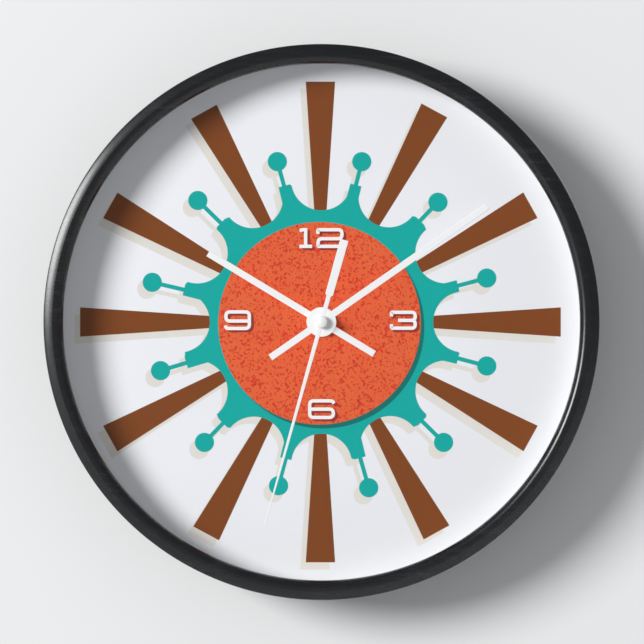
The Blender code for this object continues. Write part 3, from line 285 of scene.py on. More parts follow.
@dataclass(frozen=True)
class StainedWood(Finish):
    """Black-stained timber: long grain, pores that took less stain, and a satin wax."""

    streak: Colour = linear(38, 41, 47)
    grain_length: float = 60.0
    grain_width: float = 2.2
    pore_length: float = 7.0
    pore_width: float = 0.25
    grain_degrees: float = 38.0
    gloss: float = 0.46

    def lay(self, bench: Bench) -> None:
        """Mix long grain, fine pores and rubbed patches into colour, gloss and relief.

        Args:
            bench: the material under construction.
        """
        turn = (0.0, math.radians(self.grain_degrees), 0.0)
        along = (self.grain_length, self.grain_width, self.grain_width)
        grain = bench.noise(along, 4.0, turn)
        pores = bench.noise((self.pore_length, self.pore_width, self.pore_width), 2.0, turn)
        rubbed = bench.noise(35.0, 3.0)
        lines = grain.step(0.5, 0.72) * 0.55 + pores.step(0.6, 0.8) * 0.35
        bench.dress(
            base_color=bench.blend(lines * (rubbed * 0.8 + 0.3), self.colour, self.streak),
            roughness=rubbed * 0.12 + pores * 0.1 + (self.roughness - 0.1),
            specular_ior_level=self.gloss,
        )
        bench.bump(grain * 0.4 + (1.0 - pores.step(0.55, 0.75)) * 0.6, 0.03, 0.35)


@dataclass(frozen=True)
class Moulded(Finish):
    """Moulded plastic with a fine spark grain and handling marks."""

    grain: float = 0.35
    relief: float = 0.012
    variation: float = 0.12

    def lay(self, bench: Bench) -> None:
        """Mix a fine grain and broad cloudiness into colour, gloss and relief.

        Args:
            bench: the material under construction.
        """
        fine, cloud = bench.noise(self.grain, 3.0), bench.noise(14.0, 2.0)
        darker, lighter = shaded(self.colour, 1 - self.variation), shaded(self.colour, 1 + self.variation)
        bench.dress(
            base_color=bench.blend(cloud * 0.7 + fine * 0.3, darker, lighter),
            roughness=cloud * 0.14 + fine * 0.08 + (self.roughness - 0.11),
        )
        bench.bump(fine, self.relief, 0.6)


@dataclass(frozen=True)
class Metal(Finish):
    """Metal with drawn lines, cloudy tarnish and small pits."""

    lines: tuple[float, float, float] = (0.15, 0.15, 6.0)
    tarnish: float = 0.25

    def lay(self, bench: Bench) -> None:
        """Mix drawn lines and tarnish into colour, gloss and relief.

        Args:
            bench: the material under construction.
        """
        drawn, cloud = bench.noise(self.lines, 2.0), bench.noise(5.0, 4.0)
        pits = bench.noise(0.4, 1.0).step(0.7, 0.85)
        bench.dress(
            base_color=bench.blend(cloud.step(0.4, 0.75), self.colour, shaded(self.colour, 1 - self.tarnish)),
            metallic=1.0,
            roughness=cloud * 0.2 + drawn * 0.12 + pits * 0.15 + (self.roughness - 0.16),
        )
        bench.bump(drawn * 0.6 - pits * 0.4, 0.01, 0.4)


@dataclass(frozen=True)
class Ink(Finish):
    """Printed colour: an even film that shows a little of the paper's tooth."""

    mottle: float = 0.05

    def lay(self, bench: Bench) -> None:
        """Mottle the colour and give the film a faint tooth.

        Args:
            bench: the material under construction.
        """
        patch, tooth = bench.noise(3.0, 3.0), bench.noise(0.25, 2.0)
        deep, pale = shaded(self.colour, 1 - self.mottle), shaded(self.colour, 1 + self.mottle)
        bench.dress(
            base_color=bench.blend(patch * 0.6 + tooth * 0.4, deep, pale),
            roughness=tooth * 0.12 + (self.roughness - 0.06),
            specular_ior_level=0.1,
        )
        bench.bump(tooth, 0.008, 0.4)


@dataclass(frozen=True)
class SpeckledInk(Finish):
    """Orange print spattered with small red and dark red flecks."""

    red: Colour = linear(206, 42, 36)
    dark: Colour = linear(184, 44, 32)

    def lay(self, bench: Bench) -> None:
        """Scatter two kinds of irregular flecks over a softly uneven ground.

        Args:
            bench: the material under construction.
        """
        flecks = bench.noise(1.25, 1.0).step(0.59, 0.615)
        specks = bench.noise((1.0, 1.0, 1.2), 1.0, (0.3, 0.5, 0.2)).step(0.635, 0.665)
        ground = bench.noise(9.0, 3.0).step(0.3, 0.75)
        tooth = bench.noise(0.25, 2.0)
        orange = bench.blend(ground, self.colour, mixed(self.colour, self.red, 0.12))
        reddened = bench.blend(flecks * 0.75, orange, self.red)
        bench.dress(
            base_color=bench.blend(specks * 0.75, reddened, self.dark),
            roughness=tooth * 0.12 + (self.roughness - 0.06),
            specular_ior_level=0.1,
        )
        bench.bump(tooth, 0.008, 0.4)


@dataclass(frozen=True)
class Paper(Finish):
    """White coated paper or card with a faint fibre."""

    fibre: float = 0.3

    def lay(self, bench: Bench) -> None:
        """Lay short fibres in two directions over a soft cloud.

        Args:
            bench: the material under construction.
        """
        first = bench.noise((self.fibre * 5, self.fibre, self.fibre), 2.0)
        second = bench.noise((self.fibre, self.fibre, self.fibre * 5), 2.0)
        cloud = bench.noise(20.0, 2.0)
        bench.dress(
            base_color=bench.blend(cloud * 0.5 + first * second, shaded(self.colour, 0.96), self.colour),
            roughness=first * 0.1 + (self.roughness - 0.05),
            specular_ior_level=0.2,
        )
        bench.bump(first.most(second), 0.01, 0.35)


@dataclass(frozen=True)
class Hardboard(Finish):
    """Pressed fibreboard: felted fibres, and on its back the print of the press's wire screen."""

    pale: Colour = linear(158, 122, 82)
    screen: float = 2.4
    fibre: float = 1.2

    def lay(self, bench: Bench) -> None:
        """Press a square wire screen into felted fibres.

        Args:
            bench: the material under construction.
        """
        right, _, up = bench.axes()
        pitch = 2 * math.pi / (self.screen * MM)
        weave = (right * pitch).sine() * (up * pitch).sine()
        felt = bench.noise((self.fibre * 4, self.fibre, self.fibre), 4.0, (0, 0.6, 0))
        cross = bench.noise((self.fibre, self.fibre, self.fibre * 4), 4.0, (0, 0.9, 0))
        fleck = bench.noise(0.7, 2.0).step(0.62, 0.7)
        tone = felt * 0.5 + cross * 0.5 + fleck * 0.25 + weave * 0.06
        bench.dress(
            base_color=bench.blend(tone.step(0.25, 0.95), self.colour, self.pale),
            roughness=felt * 0.2 + (self.roughness - 0.1),
        )
        bench.bump(weave * 0.35 + felt * 0.4 + cross * 0.25, 0.22, 0.7)


@dataclass(frozen=True)
class ClearSheet(Finish):
    """Clear acrylic: nearly all of it is seen through."""

    opacity: float = 0.02
    refraction: float = 1.49

    def lay(self, bench: Bench) -> None:
        """Set a low opacity and a gloss, both with faint wiping marks.

        Args:
            bench: the material under construction.
        """
        wiped = bench.noise((30.0, 30.0, 1.5), 3.0, (0, 0.7, 0))
        bench.dress(
            base_color=self.colour,
            alpha=wiped * 0.006 + self.opacity,
            ior=self.refraction,
            roughness=wiped * 0.05 + self.roughness,
        )


@dataclass(frozen=True)
class Jacket(Finish):
    """Foil jacket of a dry cell: a dark body, a pale band at the raised end, and a thin line."""

    band: Colour = linear(196, 198, 200)
    line: Colour = linear(214, 120, 50)
    start: float = 0.0
    width: float = 11.0
    line_width: float = 1.2

    def lay(self, bench: Bench) -> None:
        """Split the jacket along the cell, with rubbed foil over both colours.

        Args:
            bench: the material under construction.
        """
        right, _, _ = bench.axes()
        scuffs, cloud = bench.noise((8.0, 0.5, 0.5), 3.0), bench.noise(6.0, 3.0)
        along = right / MM
        edge = self.start - self.width
        in_band, past_line = along > edge, along > edge - self.line_width
        body = bench.blend(cloud, self.colour, shaded(self.colour, 1.35))
        bench.dress(
            base_color=bench.blend(in_band, bench.blend(past_line, body, self.line), self.band),
            metallic=0.55,
            roughness=scuffs * 0.2 + cloud * 0.1 + (self.roughness - 0.12),
            coat_weight=0.5,
        )
        bench.bump(scuffs.step(0.6, 0.8), 0.01, 0.3)


@dataclass(frozen=True)
class Winding(Finish):
    """Enamelled copper wire wound in close turns along X, with painted shade in the grooves between turns."""

    pitch: float = 0.22

    def lay(self, bench: Bench) -> None:
        """Ridge the surface once for each turn, paint shade into the grooves between turns, and let the turns wander
        a little.

        Args:
            bench: the material under construction.
        """
        right, _, _ = bench.axes()
        wander = bench.noise(1.5, 2.0)
        turns = (right * (2 * math.pi / (self.pitch * MM)) + wander * 3.0).sine() * 0.5 + 0.5
        bench.dress(
            # painted shade: the base colour falls to 0.45 of the copper in the grooves between turns, where the
            # ridge is low
            base_color=bench.blend(turns * 0.8 + wander * 0.2, shaded(self.colour, 0.45), self.colour),
            metallic=1.0,
            roughness=wander * 0.15 + (self.roughness - 0.07),
            coat_weight=0.4,
        )
        bench.bump(turns, 0.06, 0.8)


@dataclass(frozen=True)
class Laminate(Finish):
    """Green circuit laminate with copper tracks under its lacquer."""

    track: Colour = linear(52, 128, 74)
    cells_per_metre: float = 420.0

    def lay(self, bench: Bench) -> None:
        """Run square-cornered tracks under a lacquer.

        Args:
            bench: the material under construction.
        """
        settings = {"distance": "CHEBYCHEV", "feature": "F1"}
        inputs = {"Vector": bench.place((1, 0.0, 1)), "Scale": self.cells_per_metre}
        cells = bench.node("ShaderNodeTexVoronoi", settings, inputs)
        tracks = (cells * 9.0).sine().step(0.2, 0.5)
        weave = bench.noise(0.6, 2.0)
        bench.dress(
            base_color=bench.blend(tracks, self.colour, self.track),
            roughness=weave * 0.15 + (self.roughness - 0.07),
            coat_weight=0.6,
        )
        bench.bump(tracks * 0.7 + weave * 0.3, 0.03, 0.5)


@dataclass(frozen=True)
class Backdrop(Finish):
    """Pale painted surface of the room, seen from its front only."""

    def lay(self, bench: Bench) -> None:
        """Mix the paint with nothing at all where the surface is seen from behind.

        Args:
            bench: the material under construction.
        """
        tooth = bench.noise(1.2, 3.0)
        bench.dress(
            base_color=bench.blend(tooth, shaded(self.colour, 0.99), self.colour),
            roughness=self.roughness,
            specular_ior_level=0.1,
        )
        behind = bench.node("ShaderNodeNewGeometry", output="Backfacing")
        nothing = bench.node("ShaderNodeBsdfTransparent")
        painted = Sock(bench, bench.shader.outputs[0])
        seen = bench.node("ShaderNodeMixShader", {}, {0: behind, 1: painted, 2: nothing})
        bench.feed(bench.output.inputs[0], seen)


class Finishes(Enum):
    """Every finish of the clock and of the room it hangs in."""

    FRAME = StainedWood("black_stained_wood", linear(6, 8, 12), 0.25)
    LENS = ClearSheet("clear_acrylic", (0.12, 0.13, 0.135), 0.03)
    SPACER = Paper("spacer_card", linear(228, 228, 224), 0.7)
    DIAL = Paper("dial_paper", linear(238, 239, 243), 0.55)
    BOARD = Hardboard("pressed_fibreboard", linear(92, 62, 38), 0.75)
    BAR_INK = Ink("brown_ink", linear(126, 68, 28), 0.5)
    STAR_INK = Ink("teal_ink", linear(14, 168, 160), 0.5)
    DISC_INK = SpeckledInk("speckled_orange_ink", linear(228, 102, 58), 0.5)
    BEIGE_INK = Ink("beige_shade_ink", linear(226, 221, 214), 0.55)
    DEEP_TEAL_INK = Ink("deep_teal_ink", linear(18, 112, 104), 0.5)
    MAROON_INK = Ink("maroon_ink", linear(146, 56, 46), 0.5)
    WHITE_INK = Ink("white_ink", linear(244, 243, 244), 0.5, mottle=0.02)
    HAND_PAINT = Moulded("white_hand_paint", linear(244, 244, 244), 0.42, 0.5, 0.003, 0.01)
    POINT_STEEL = Metal("point_steel", linear(168, 168, 170), 0.42)
    ZINC = Metal("zinc_plate", linear(196, 199, 206), 0.36, lines=(0.2, 0.2, 9.0))
    BRASS = Metal("brass", linear(205, 168, 92), 0.3)
    RUBBER = Moulded("black_rubber", linear(34, 34, 34), 0.82, 0.6, 0.02)
    CASE = Moulded("black_case_plastic", linear(44, 44, 47), 0.5, 0.45, 0.02)
    COVER = Moulded("black_cover_plastic", linear(50, 50, 53), 0.46, 0.4, 0.018)
    KNOB = Moulded("black_knob_plastic", linear(46, 46, 49), 0.4, 0.3, 0.01)
    ACETAL = Moulded("white_acetal", linear(232, 231, 224), 0.42, 0.3, 0.006, 0.04)
    CREAM_ACETAL = Moulded("cream_acetal", linear(226, 218, 196), 0.4, 0.3, 0.006, 0.04)
    FERRITE = Moulded("magnet_ferrite", linear(62, 62, 66), 0.38, 0.15, 0.012)
    IRON = Metal("soft_iron", linear(150, 150, 152), 0.38)
    NYLON = Moulded("bobbin_nylon", linear(220, 219, 210), 0.5, 0.3, 0.006, 0.05)
    COPPER = Winding("enamelled_copper", linear(196, 98, 52), 0.3)
    LAMINATE = Laminate("circuit_laminate", linear(30, 92, 52), 0.4)
    EPOXY = Moulded("black_epoxy", linear(24, 24, 24), 0.3, 0.8, 0.01)
    CAN = Metal("crystal_can", linear(214, 214, 216), 0.24)
    SPRING = Metal("spring_steel", linear(190, 190, 192), 0.3)
    NICKEL = Metal("nickel_plate", linear(212, 206, 192), 0.26)
    WALL = Backdrop("wall_paint", linear(230, 230, 230), 0.9)
    FLOOR = Backdrop("floor_paint", linear(228, 227, 225), 0.85)


# ---------------------------------------------------------------- geometry
def spot(radius: float | np.ndarray, clock_degrees: float | np.ndarray) -> np.ndarray:
    """Points (right, up) at a radius in a direction clockwise from twelve."""
    angle = np.radians(clock_degrees)
    return np.stack(np.broadcast_arrays(radius * np.sin(angle), radius * np.cos(angle)), axis=-1)


def arc(centre: Sequence[float], radius: float, start: float, end: float, steps: int) -> np.ndarray:
    """Points of an arc, centre + radius * (cos a, sin a), a from start to end in degrees."""
    angle = np.radians(np.linspace(start, end, steps + 1))
    return np.asarray(centre) + radius * np.stack([np.cos(angle), np.sin(angle)], axis=-1)


def heights(node: str) -> tuple[float, float]:
    """Lowest and highest height of a CAD node above the wall, in mm."""
    low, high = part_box(node)
    return -high.y / MM, -low.y / MM


def to_row(points: np.ndarray) -> np.ndarray:
    """Points (right, up, height) in mm as (right, -height, up + axis height) in metres."""
    right, up, height = np.moveaxis(points, -1, 0) * MM
    return np.stack([right, -height, up + AXIS_UP], axis=-1)


class Shell:
    """A mesh in the making, from grids of points and flat plates."""

    def __init__(self) -> None:
        """Start with nothing."""
        self.points: list[np.ndarray] = []
        self.faces: list[list[int]] = []
        self.count = 0

    def grid(self, points: np.ndarray, around: bool = False, across: bool = False) -> Shell:
        """Skin a grid of points with quads.

        Args:
            points: rows by columns by 3.
            around: whether the last row joins the first.
            across: whether the last column joins the first.

        Returns:
            This shell.
        """
        index = np.arange(points.shape[0] * points.shape[1]).reshape(points.shape[:2])
        if around:
            index = np.vstack([index, index[:1]])
        if across:
            index = np.hstack([index, index[:, :1]])
        corners = [index[:-1, :-1], index[1:, :-1], index[1:, 1:], index[:-1, 1:]]
        quads = np.stack(corners, axis=-1).reshape(-1, 4) + self.count
        self.points.append(points.reshape(-1, 3))
        self.faces += quads.tolist()
        self.count += len(self.points[-1])
        return self

    def turned(self, profile: np.ndarray, steps: int = 96, loop: bool = True) -> Shell:
        """Turn a profile of (radius, height) about the clock's axis.

        A point is (radius * cos a, radius * sin a, height). A loop closes on itself; any other
        profile starts and ends on the axis.

        Args:
            profile: points of (radius, height).
            steps: columns round the axis.
            loop: whether the last point joins the first.

        Returns:
            This shell.
        """
        angle = np.linspace(0, 2 * math.pi, steps, endpoint=False)[:, None]
        radius, height = profile[None, :, 0], profile[None, :, 1]
        flat = np.broadcast_arrays(radius * np.cos(angle), radius * np.sin(angle), height)
        return self.grid(np.stack(flat, axis=-1), around=True, across=loop)

    def plate(self, loops: Sequence[np.ndarray], low: float, high: float) -> Shell:
        """Flat plate between two heights, its faces cut into triangles.

        Args:
            loops: its outline, then the outlines of its holes.
            low: height of its lower face.
            high: height of its upper face.

        Returns:
            This shell.
        """
        flat = [[Vector((float(x), float(y), 0.0)) for x, y in loop] for loop in loops]
        cut = np.array(tessellate_polygon(flat))
        for loop in loops:
            ends = [np.column_stack([loop, np.full(len(loop), height)]) for height in (low, high)]
            self.grid(np.stack(ends), across=True)
        face = np.concatenate(loops)
        for height, triangles in ((low, cut), (high, cut[:, ::-1])):
            self.points.append(np.column_stack([face, np.full(len(face), height)]))
            self.faces += (triangles + self.count).tolist()
            self.count += len(face)
        return self

    def ribbon(self, line: np.ndarray, width: float, low: float, high: float) -> Shell:
        """Flat stroke along a line of points: the line is widened by its normal to both sides.

        Args:
            line: points of (right, up) along the middle.
            width: width of the stroke.
            low: height of its lower face.
            high: height of its upper face.

        Returns:
            This shell.
        """
        step = np.gradient(line, axis=0)
        normal = np.stack([-step[:, 1], step[:, 0]], axis=-1)
        normal /= np.linalg.norm(normal, axis=1, keepdims=True)
        sides = [(-1, low), (1, low), (1, high), (-1, high)]
        rows = [np.column_stack([line + normal * width / 2 * s, np.full(len(line), h)]) for s, h in sides]
        rows = np.stack(rows, axis=1)
        middle = rows.mean(axis=1, keepdims=True).repeat(4, axis=1)
        return self.grid(np.concatenate([middle[:1], rows, middle[-1:]]), across=True)

    def piece(
        self,
        name: str,
        finish: Finishes,
        body: str = "clock_body",
        slot: str | None = None,
        replaces: Sequence[str] = (),
        crease: float = 32.0,
    ) -> bpy.types.Object:
        """slot: not used. the record's material slot it takes its finish from.
            replaces: CAD nodes it stands for.
            crease: edges that bend by more degrees than this stay sharp.

        Returns:
            The finished object.
        """
        mesh = bpy.data.meshes.new(name)
        mesh.from_pydata(to_row(np.concatenate(self.points)), [], self.faces)
        close_and_face_out(mesh)
        mesh.polygons.foreach_set("use_smooth", np.ones(len(mesh.polygons), bool))
        mesh.set_sharp_from_angle(angle=math.radians(crease))
        mesh.materials.append(finish.value.material())
        made = bpy.data.objects.new(name, mesh)
        bpy.context.scene.collection.objects.link(made)
        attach(made, body)
        if replaces:
            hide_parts(*replaces)
        log.info("%s: %d faces, rides on %s", name, len(mesh.polygons), body)
        return made


def close_and_face_out(mesh: bpy.types.Mesh) -> None:
    """Merge doubled points, drop faces with no area and turn every closed shell outwards.

    Args:
        mesh: the mesh that is changed.
    """
    work = bmesh.new()
    work.from_mesh(mesh)
    bmesh.ops.remove_doubles(work, verts=work.verts, dist=WELD)
    bmesh.ops.dissolve_degenerate(work, edges=work.edges, dist=WELD)
    bmesh.ops.recalc_face_normals(work, faces=work.faces)
    work.to_mesh(mesh)
    work.free()


def slab_profile(inner: float, outer: float, low: float, high: float, edge: float) -> np.ndarray:
    """Section of a ring: a rectangle of radius and height whose four corners are rounded.

    Args:
        inner: inner radius.
        outer: outer radius.
        low: lower height.
        high: upper height.
        edge: radius of its corners.

    Returns:
        Points of (radius, height).
    """
    corners = [
        ((outer - edge, high - edge), 90, 0),
        ((outer - edge, low + edge), 0, -90),
        ((inner + edge, low + edge), -90, -180),
        ((inner + edge, high - edge), 180, 90),
    ]
    return np.concatenate([arc(centre, edge, start, end, 3) for centre, start, end in corners])


def ring_for(node: str, name: str, finish: Finishes, slot: str, radii: tuple[float, float], edge: float,
             steps: int = 96) -> None:
    """Turn a ring with rounded corners that fills a CAD node's height and stands for it.

    Args:
        node: the CAD node.
        name: the new piece's name.
        finish: its finish.
        slot: the record's material slot.
        radii: inner and outer radius.
        edge: radius of its corners.
        steps: columns round the axis.
    """
    ring = slab_profile(*radii, *heights(node), edge)
    Shell().turned(ring, steps).piece(name, finish, slot=slot, replaces=[node])


# ---------------------------------------------------------------- frame and glazing
@dataclass
class WoodenFrame:
    """Turned ring with a soft outer edge, a rounded inner lip and a rebate behind it."""

    radius: float = 127.0
    opening: float = 118.2
    rebate: float = 121.0
    lip: float = 5.0
    bevel_width: float = 3.7
    bevel_start: float = 12.0
    bevel_end: float = 27.0
    outer_round: float = 0.7
    inner_round: float = 3.2
    back_round: float = 1.0
    eased: float = 0.35
    steps: int = 288

    def profile(self) -> np.ndarray:
        """Section of the ring: arcs for its rounded edges, joined by straight lines.

        The front's outer edge is a crowned bevel, an arc whose slope grows from bevel_start to
        bevel_end degrees over its width, and a small round between it and the ring's side.

        Returns:
            Points of (radius, height).
        """
        low, high = heights("frame")
        r, i = self.outer_round, self.inner_round
        ledge = high - self.lip
        start, end = math.radians(self.bevel_start), math.radians(self.bevel_end)
        crown = self.bevel_width / (math.sin(end) - math.sin(start))
        turn_end = self.radius - r * (1 - math.sin(end))
        first = turn_end - self.bevel_width
        centre = (first - crown * math.sin(start), high - crown * math.cos(start))
        drop = high - crown * (math.cos(start) - math.cos(end))
        parts = [
            arc(centre, crown, 90 - self.bevel_start, 90 - self.bevel_end, 10),
            arc((self.radius - r, drop - r * math.cos(end)), r, 90 - self.bevel_end, 0, 5)[1:],
            arc((self.radius - self.back_round, low + self.back_round), self.back_round, 0, -90, 5),
            arc((self.rebate + self.eased, low + self.eased), self.eased, -90, -180, 3),
            np.array([(self.rebate, ledge)]),
            arc((self.opening + self.eased, ledge + self.eased), self.eased, -90, -180, 3),
            arc((self.opening + i, high - i), i, 180, 90, 12),
        ]
        return np.concatenate(parts)

    def build(self) -> None:
        """Turn the ring."""
        shell = Shell().turned(self.profile(), self.steps)
        shell.piece("frame_ring", Finishes.FRAME, slot="black_stained_wood", replaces=["frame"], crease=12.0)


@dataclass
class Glazing:
    """Clear lens, the card ring behind it, the dial sheet and the fibreboard disc."""

    radius: float = 120.7
    card: float = 1.6
    shaft_hole: float = 4.07
    lens_edge: float = 0.3
    card_edge: float = 0.15
    paper_edge: float = 0.03
    board_edge: float = 0.25
    steps: int = 240

    def build(self) -> None:
        """Turn the four discs and rings."""
        low, high = heights("lens")
        edge, rim = self.lens_edge, self.radius - self.lens_edge
        lens = np.concatenate([
            [(0, high)],
            arc((rim, high - edge), edge, 90, 0, 3),
            arc((rim, low + edge), edge, 0, -90, 3),
            [(0, low)],
        ])
        Shell().turned(lens, self.steps, loop=False).piece(
            "lens_disc", Finishes.LENS, slot="clear_acrylic", replaces=["lens"])
        sleeve, sheet = (self.radius - self.card, self.radius), (self.shaft_hole, self.radius)
        ring_for("spacer_ring", "spacer_sleeve", Finishes.SPACER, "spacer_board", sleeve, self.card_edge, self.steps)
        ring_for("dial", "dial_sheet", Finishes.DIAL, "dial_paper", sheet, self.paper_edge, self.steps)
        ring_for("backing_board", "fibreboard_disc", Finishes.BOARD, "backing_fibreboard", sheet, self.board_edge,
                 self.steps)


# ---------------------------------------------------------------- print
@dataclass
class DialPrint:
    """Sunburst print: bars, a star with pins and balls, a disc and four numerals, in thin films.

    Every film lies a little above the one before, so the last one printed covers the others.
    The artwork is drawn in millimetres and printed grow times as large.
    """

    film: float = 0.010
    pitch: float = 0.014
    first_gap: float = 0.003
    stroke_lift: float = 0.0006
    circle_steps: int = 240
    grow: float = 1.0087
    bar_shift: tuple[float, float] = (-0.5, 0.0)
    bar_angles: tuple[float, ...] = (0, 28.3, 60.9, 90, 119, 151.1, 180, 208.4, 240.96, 270, 299.05, 331)
    bar_inner: float = 46.0
    bar_outer: float = 109.9
    bar_width_at_end: float = 13.4
    bar_taper: float = 0.1316
    star_inner: float = 42.0
    scallop_centre: float = 65.0
    scallop_radius: float = 13.9
    stub_end: float = 64.6
    stub_width: float = 5.2
    stub_lip: float = 0.4
    pin_width: float = 1.9
    ball_radius: float = 4.4
    ball_angles: tuple[float, ...] = (
        14.1, 44.2, 75.1, 104.9, 134.6, 164.1, 194.7, 224.2, 253.2, 283.2, 314.5, 344.6)
    ball_places: tuple[float, ...] = (
        75.6, 76.4, 78.2, 78.2, 78.4, 78.8, 77.4, 76.8, 76.9, 79.5, 79.3, 76.1)
    shade_offset: tuple[float, float] = (-2.5, -3.2)
    disc_radius: float = 46.3
    disc_inner: float = 4.2
    disc_centre: tuple[float, float] = (-0.9, -0.6)
    disc_shade_offset: tuple[float, float] = (1.6, -1.8)
    stroke: float = 1.55
    numeral_shade_offset: tuple[float, float] = (1.3, -1.0)

    def levels(self, layer: int) -> tuple[float, float]:
        """Lower and upper height of a film, counted from the dial up."""
        low = heights("dial")[1] + self.first_gap + layer * self.pitch
        return low, low + self.film

    def bars(self) -> list[np.ndarray]:
        """Outline of each bar: a wedge with a flat end, its width falling off towards the centre.

        Returns:
            One array of points (right, up) for each bar.
        """
        inner_width = self.bar_width_at_end - self.bar_taper * (self.bar_outer - self.bar_inner)
        half = np.array([-inner_width, -self.bar_width_at_end, self.bar_width_at_end, inner_width]) / 2
        reach = np.array([self.bar_inner, self.bar_outer, self.bar_outer, self.bar_inner])
        return [along(angle, reach, half) for angle in self.bar_angles]

    def pin(self, clock_degrees: float, place: float) -> np.ndarray:
        """Outline of a stub, its pin and its ball, from one side of the stub round to the other.

        Args:
            clock_degrees: the pin's direction.
            place: distance of the ball's centre from the shaft.

        Returns:
            Points of (right, up).
        """
        half = self.pin_width / 2
        open_angle = math.degrees(math.asin(half / self.ball_radius))
        ball = arc((place, 0), self.ball_radius, open_angle - 180, 180 - open_angle, 28)
        left = [(self.stub_end, -self.stub_width / 2), (self.stub_end, -half)]
        right = [(self.stub_end, half), (self.stub_end, self.stub_width / 2)]
        shape = np.concatenate([left, ball, right])
        return along(clock_degrees, shape[:, 0], shape[:, 1])

    def scallop(self, clock_degrees: float, before: float, after: float) -> np.ndarray:
        """Hollow between two stubs: an arc that bulges towards the dial's centre.

        Its points are centre + radius * (-cos t along the bar, sin t across it); the ones that
        would run into a stub, or past its end, are left out.

        Args:
            clock_degrees: direction of the bar inside it.
            before: direction of the stub before it.
            after: direction of the stub after it.

        Returns:
            Points of (right, up).
        """
        turn = np.radians(np.linspace(-88, 88, 61))
        reach = self.scallop_centre - self.scallop_radius * np.cos(turn)
        points = along(clock_degrees, reach, self.scallop_radius * np.sin(turn))
        keep = np.hypot(*points.T) < self.stub_end - self.stub_lip
        for stub in (before, after):
            side = np.radians(stub)
            across = points[:, 0] * math.cos(side) - points[:, 1] * math.sin(side)
            keep &= np.abs(across) > self.stub_width / 2
        return points[keep]

    def star(self) -> np.ndarray:
        """Outline of the whole star, clockwise: pin, scallop, pin, and so on.

        Returns:
            Points of (right, up).
        """
        bars = (*self.bar_angles[1:], self.bar_angles[0] + 360)
        following = (*self.ball_angles[1:], self.ball_angles[0] + 360)
        parts = []
        for ball, place, bar, after in zip(self.ball_angles, self.ball_places, bars, following):
            parts += [self.pin(ball, place), self.scallop(bar, ball, after)]
        return np.concatenate(parts)

    def numerals(self) -> list[np.ndarray]:
        """Middle lines of the numerals' strokes, drawn as a square extended face.

        The middle bars of 9 and 6 start at the side of the upright they meet.

        Returns:
            One array of points (right, up) for each stroke.
        """
        side = self.stroke / 2
        one = [[(-10.0, 41.9), (-8.4, 42.2), (-7.26, 42.2)], [(-7.26, 42.95), (-7.26, 34.6)],
               [(-10.1, 34.6), (-4.3, 34.6)]]
        two = [rounded([(-1.65, 40.3), (-1.65, 42.2), (9.35, 42.2), (9.35, 38.1), (-1.55, 38.1),
                        (-1.55, 34.6), (10.3, 34.6)], (0.4, 1.9, 1.9, 1.9, 0.4))]
        three = [rounded([(32.0, 2.6), (32.0, 4.43), (42.85, 4.43), (42.85, 0.75), (35.0, 0.75)],
                         (0.4, 1.7, 1.7)),
                 rounded([(38.0, 0.75), (42.85, 0.75), (42.85, -2.82), (32.0, -2.82), (32.0, -1.0)],
                         (1.7, 1.7, 0.4))]
        nine = [rounded([(-33.0 - side, 0.44), (-43.7, 0.44), (-43.7, 4.62), (-33.0, 4.62), (-33.0, -2.95),
                         (-43.6, -2.95), (-43.9, -1.6)], (1.9, 1.9, 1.9, 1.9, 1.2))]
        six = [rounded([(-5.4 + side, -39.85), (5.4, -39.85), (5.4, -43.65), (-5.4, -43.65), (-5.4, -36.05),
                        (5.0, -36.05), (5.7, -37.3)], (1.9, 1.9, 1.9, 1.9, 1.2))]
        return [np.asarray(line, float) for line in (*one, *two, *three, *nine, *six)]

    def film_piece(
        self,
        name: str,
        outlines: list[np.ndarray],
        layer: int,
        ink: Finishes,
        offset: Sequence[float] = (0, 0),
    ) -> None:
        """Make one film from separate outlines, moved by an offset.

        Args:
            name: the piece's name.
            outlines: closed outlines of (right, up).
            layer: place in the stack of films, 0 next to the dial.
            ink: its finish.
            offset: how far right and up it is moved.
        """
        shell = Shell()
        for outline in outlines:
            shell.plate([(outline + np.asarray(offset)) * self.grow], *self.levels(layer))
        shell.piece(name, ink, slot="dial_paper")

    def star_piece(self, name: str, layer: int, ink: Finishes, offset: Sequence[float] = (0, 0)) -> None:
        """Make the star, or its shade, open where the disc covers it.

        Args:
            name: the piece's name.
            layer: place in the stack of films, 0 next to the dial.
            ink: its finish.
            offset: how far right and up it is moved.
        """
        turn = np.linspace(0, 360, self.circle_steps // 2, endpoint=False)
        loops = [(self.star() + np.asarray(offset)) * self.grow, spot(self.star_inner, turn)]
        Shell().plate(loops, *self.levels(layer)).piece(name, ink, slot="dial_paper")

    def ring_piece(self, name: str, inner: float, outer: float, layer: int, ink: Finishes,
                   centre: Sequence[float] = (0, 0)) -> None:
        """Make one ring-shaped film: an outer circle about its own centre, an inner about the shaft.

        Args:
            name: the piece's name.
            inner: inner radius.
            outer: outer radius.
            layer: place in the stack of films, 0 next to the dial.
            ink: its finish.
            centre: the outer circle's centre.
        """
        low, high = self.levels(layer)
        turn = np.linspace(0, 2 * math.pi, self.circle_steps, endpoint=False)
        unit = np.stack([np.cos(turn), np.sin(turn)], axis=-1)
        rim = (unit * outer + np.asarray(centre)) * self.grow
        rims = [unit * inner, rim, rim, unit * inner]
        layers = [low, low, high, high]
        grid = [np.column_stack([line, np.full(len(turn), h)]) for line, h in zip(rims, layers)]
        Shell().grid(np.stack(grid, axis=1), around=True, across=True).piece(name, ink, slot="dial_paper")

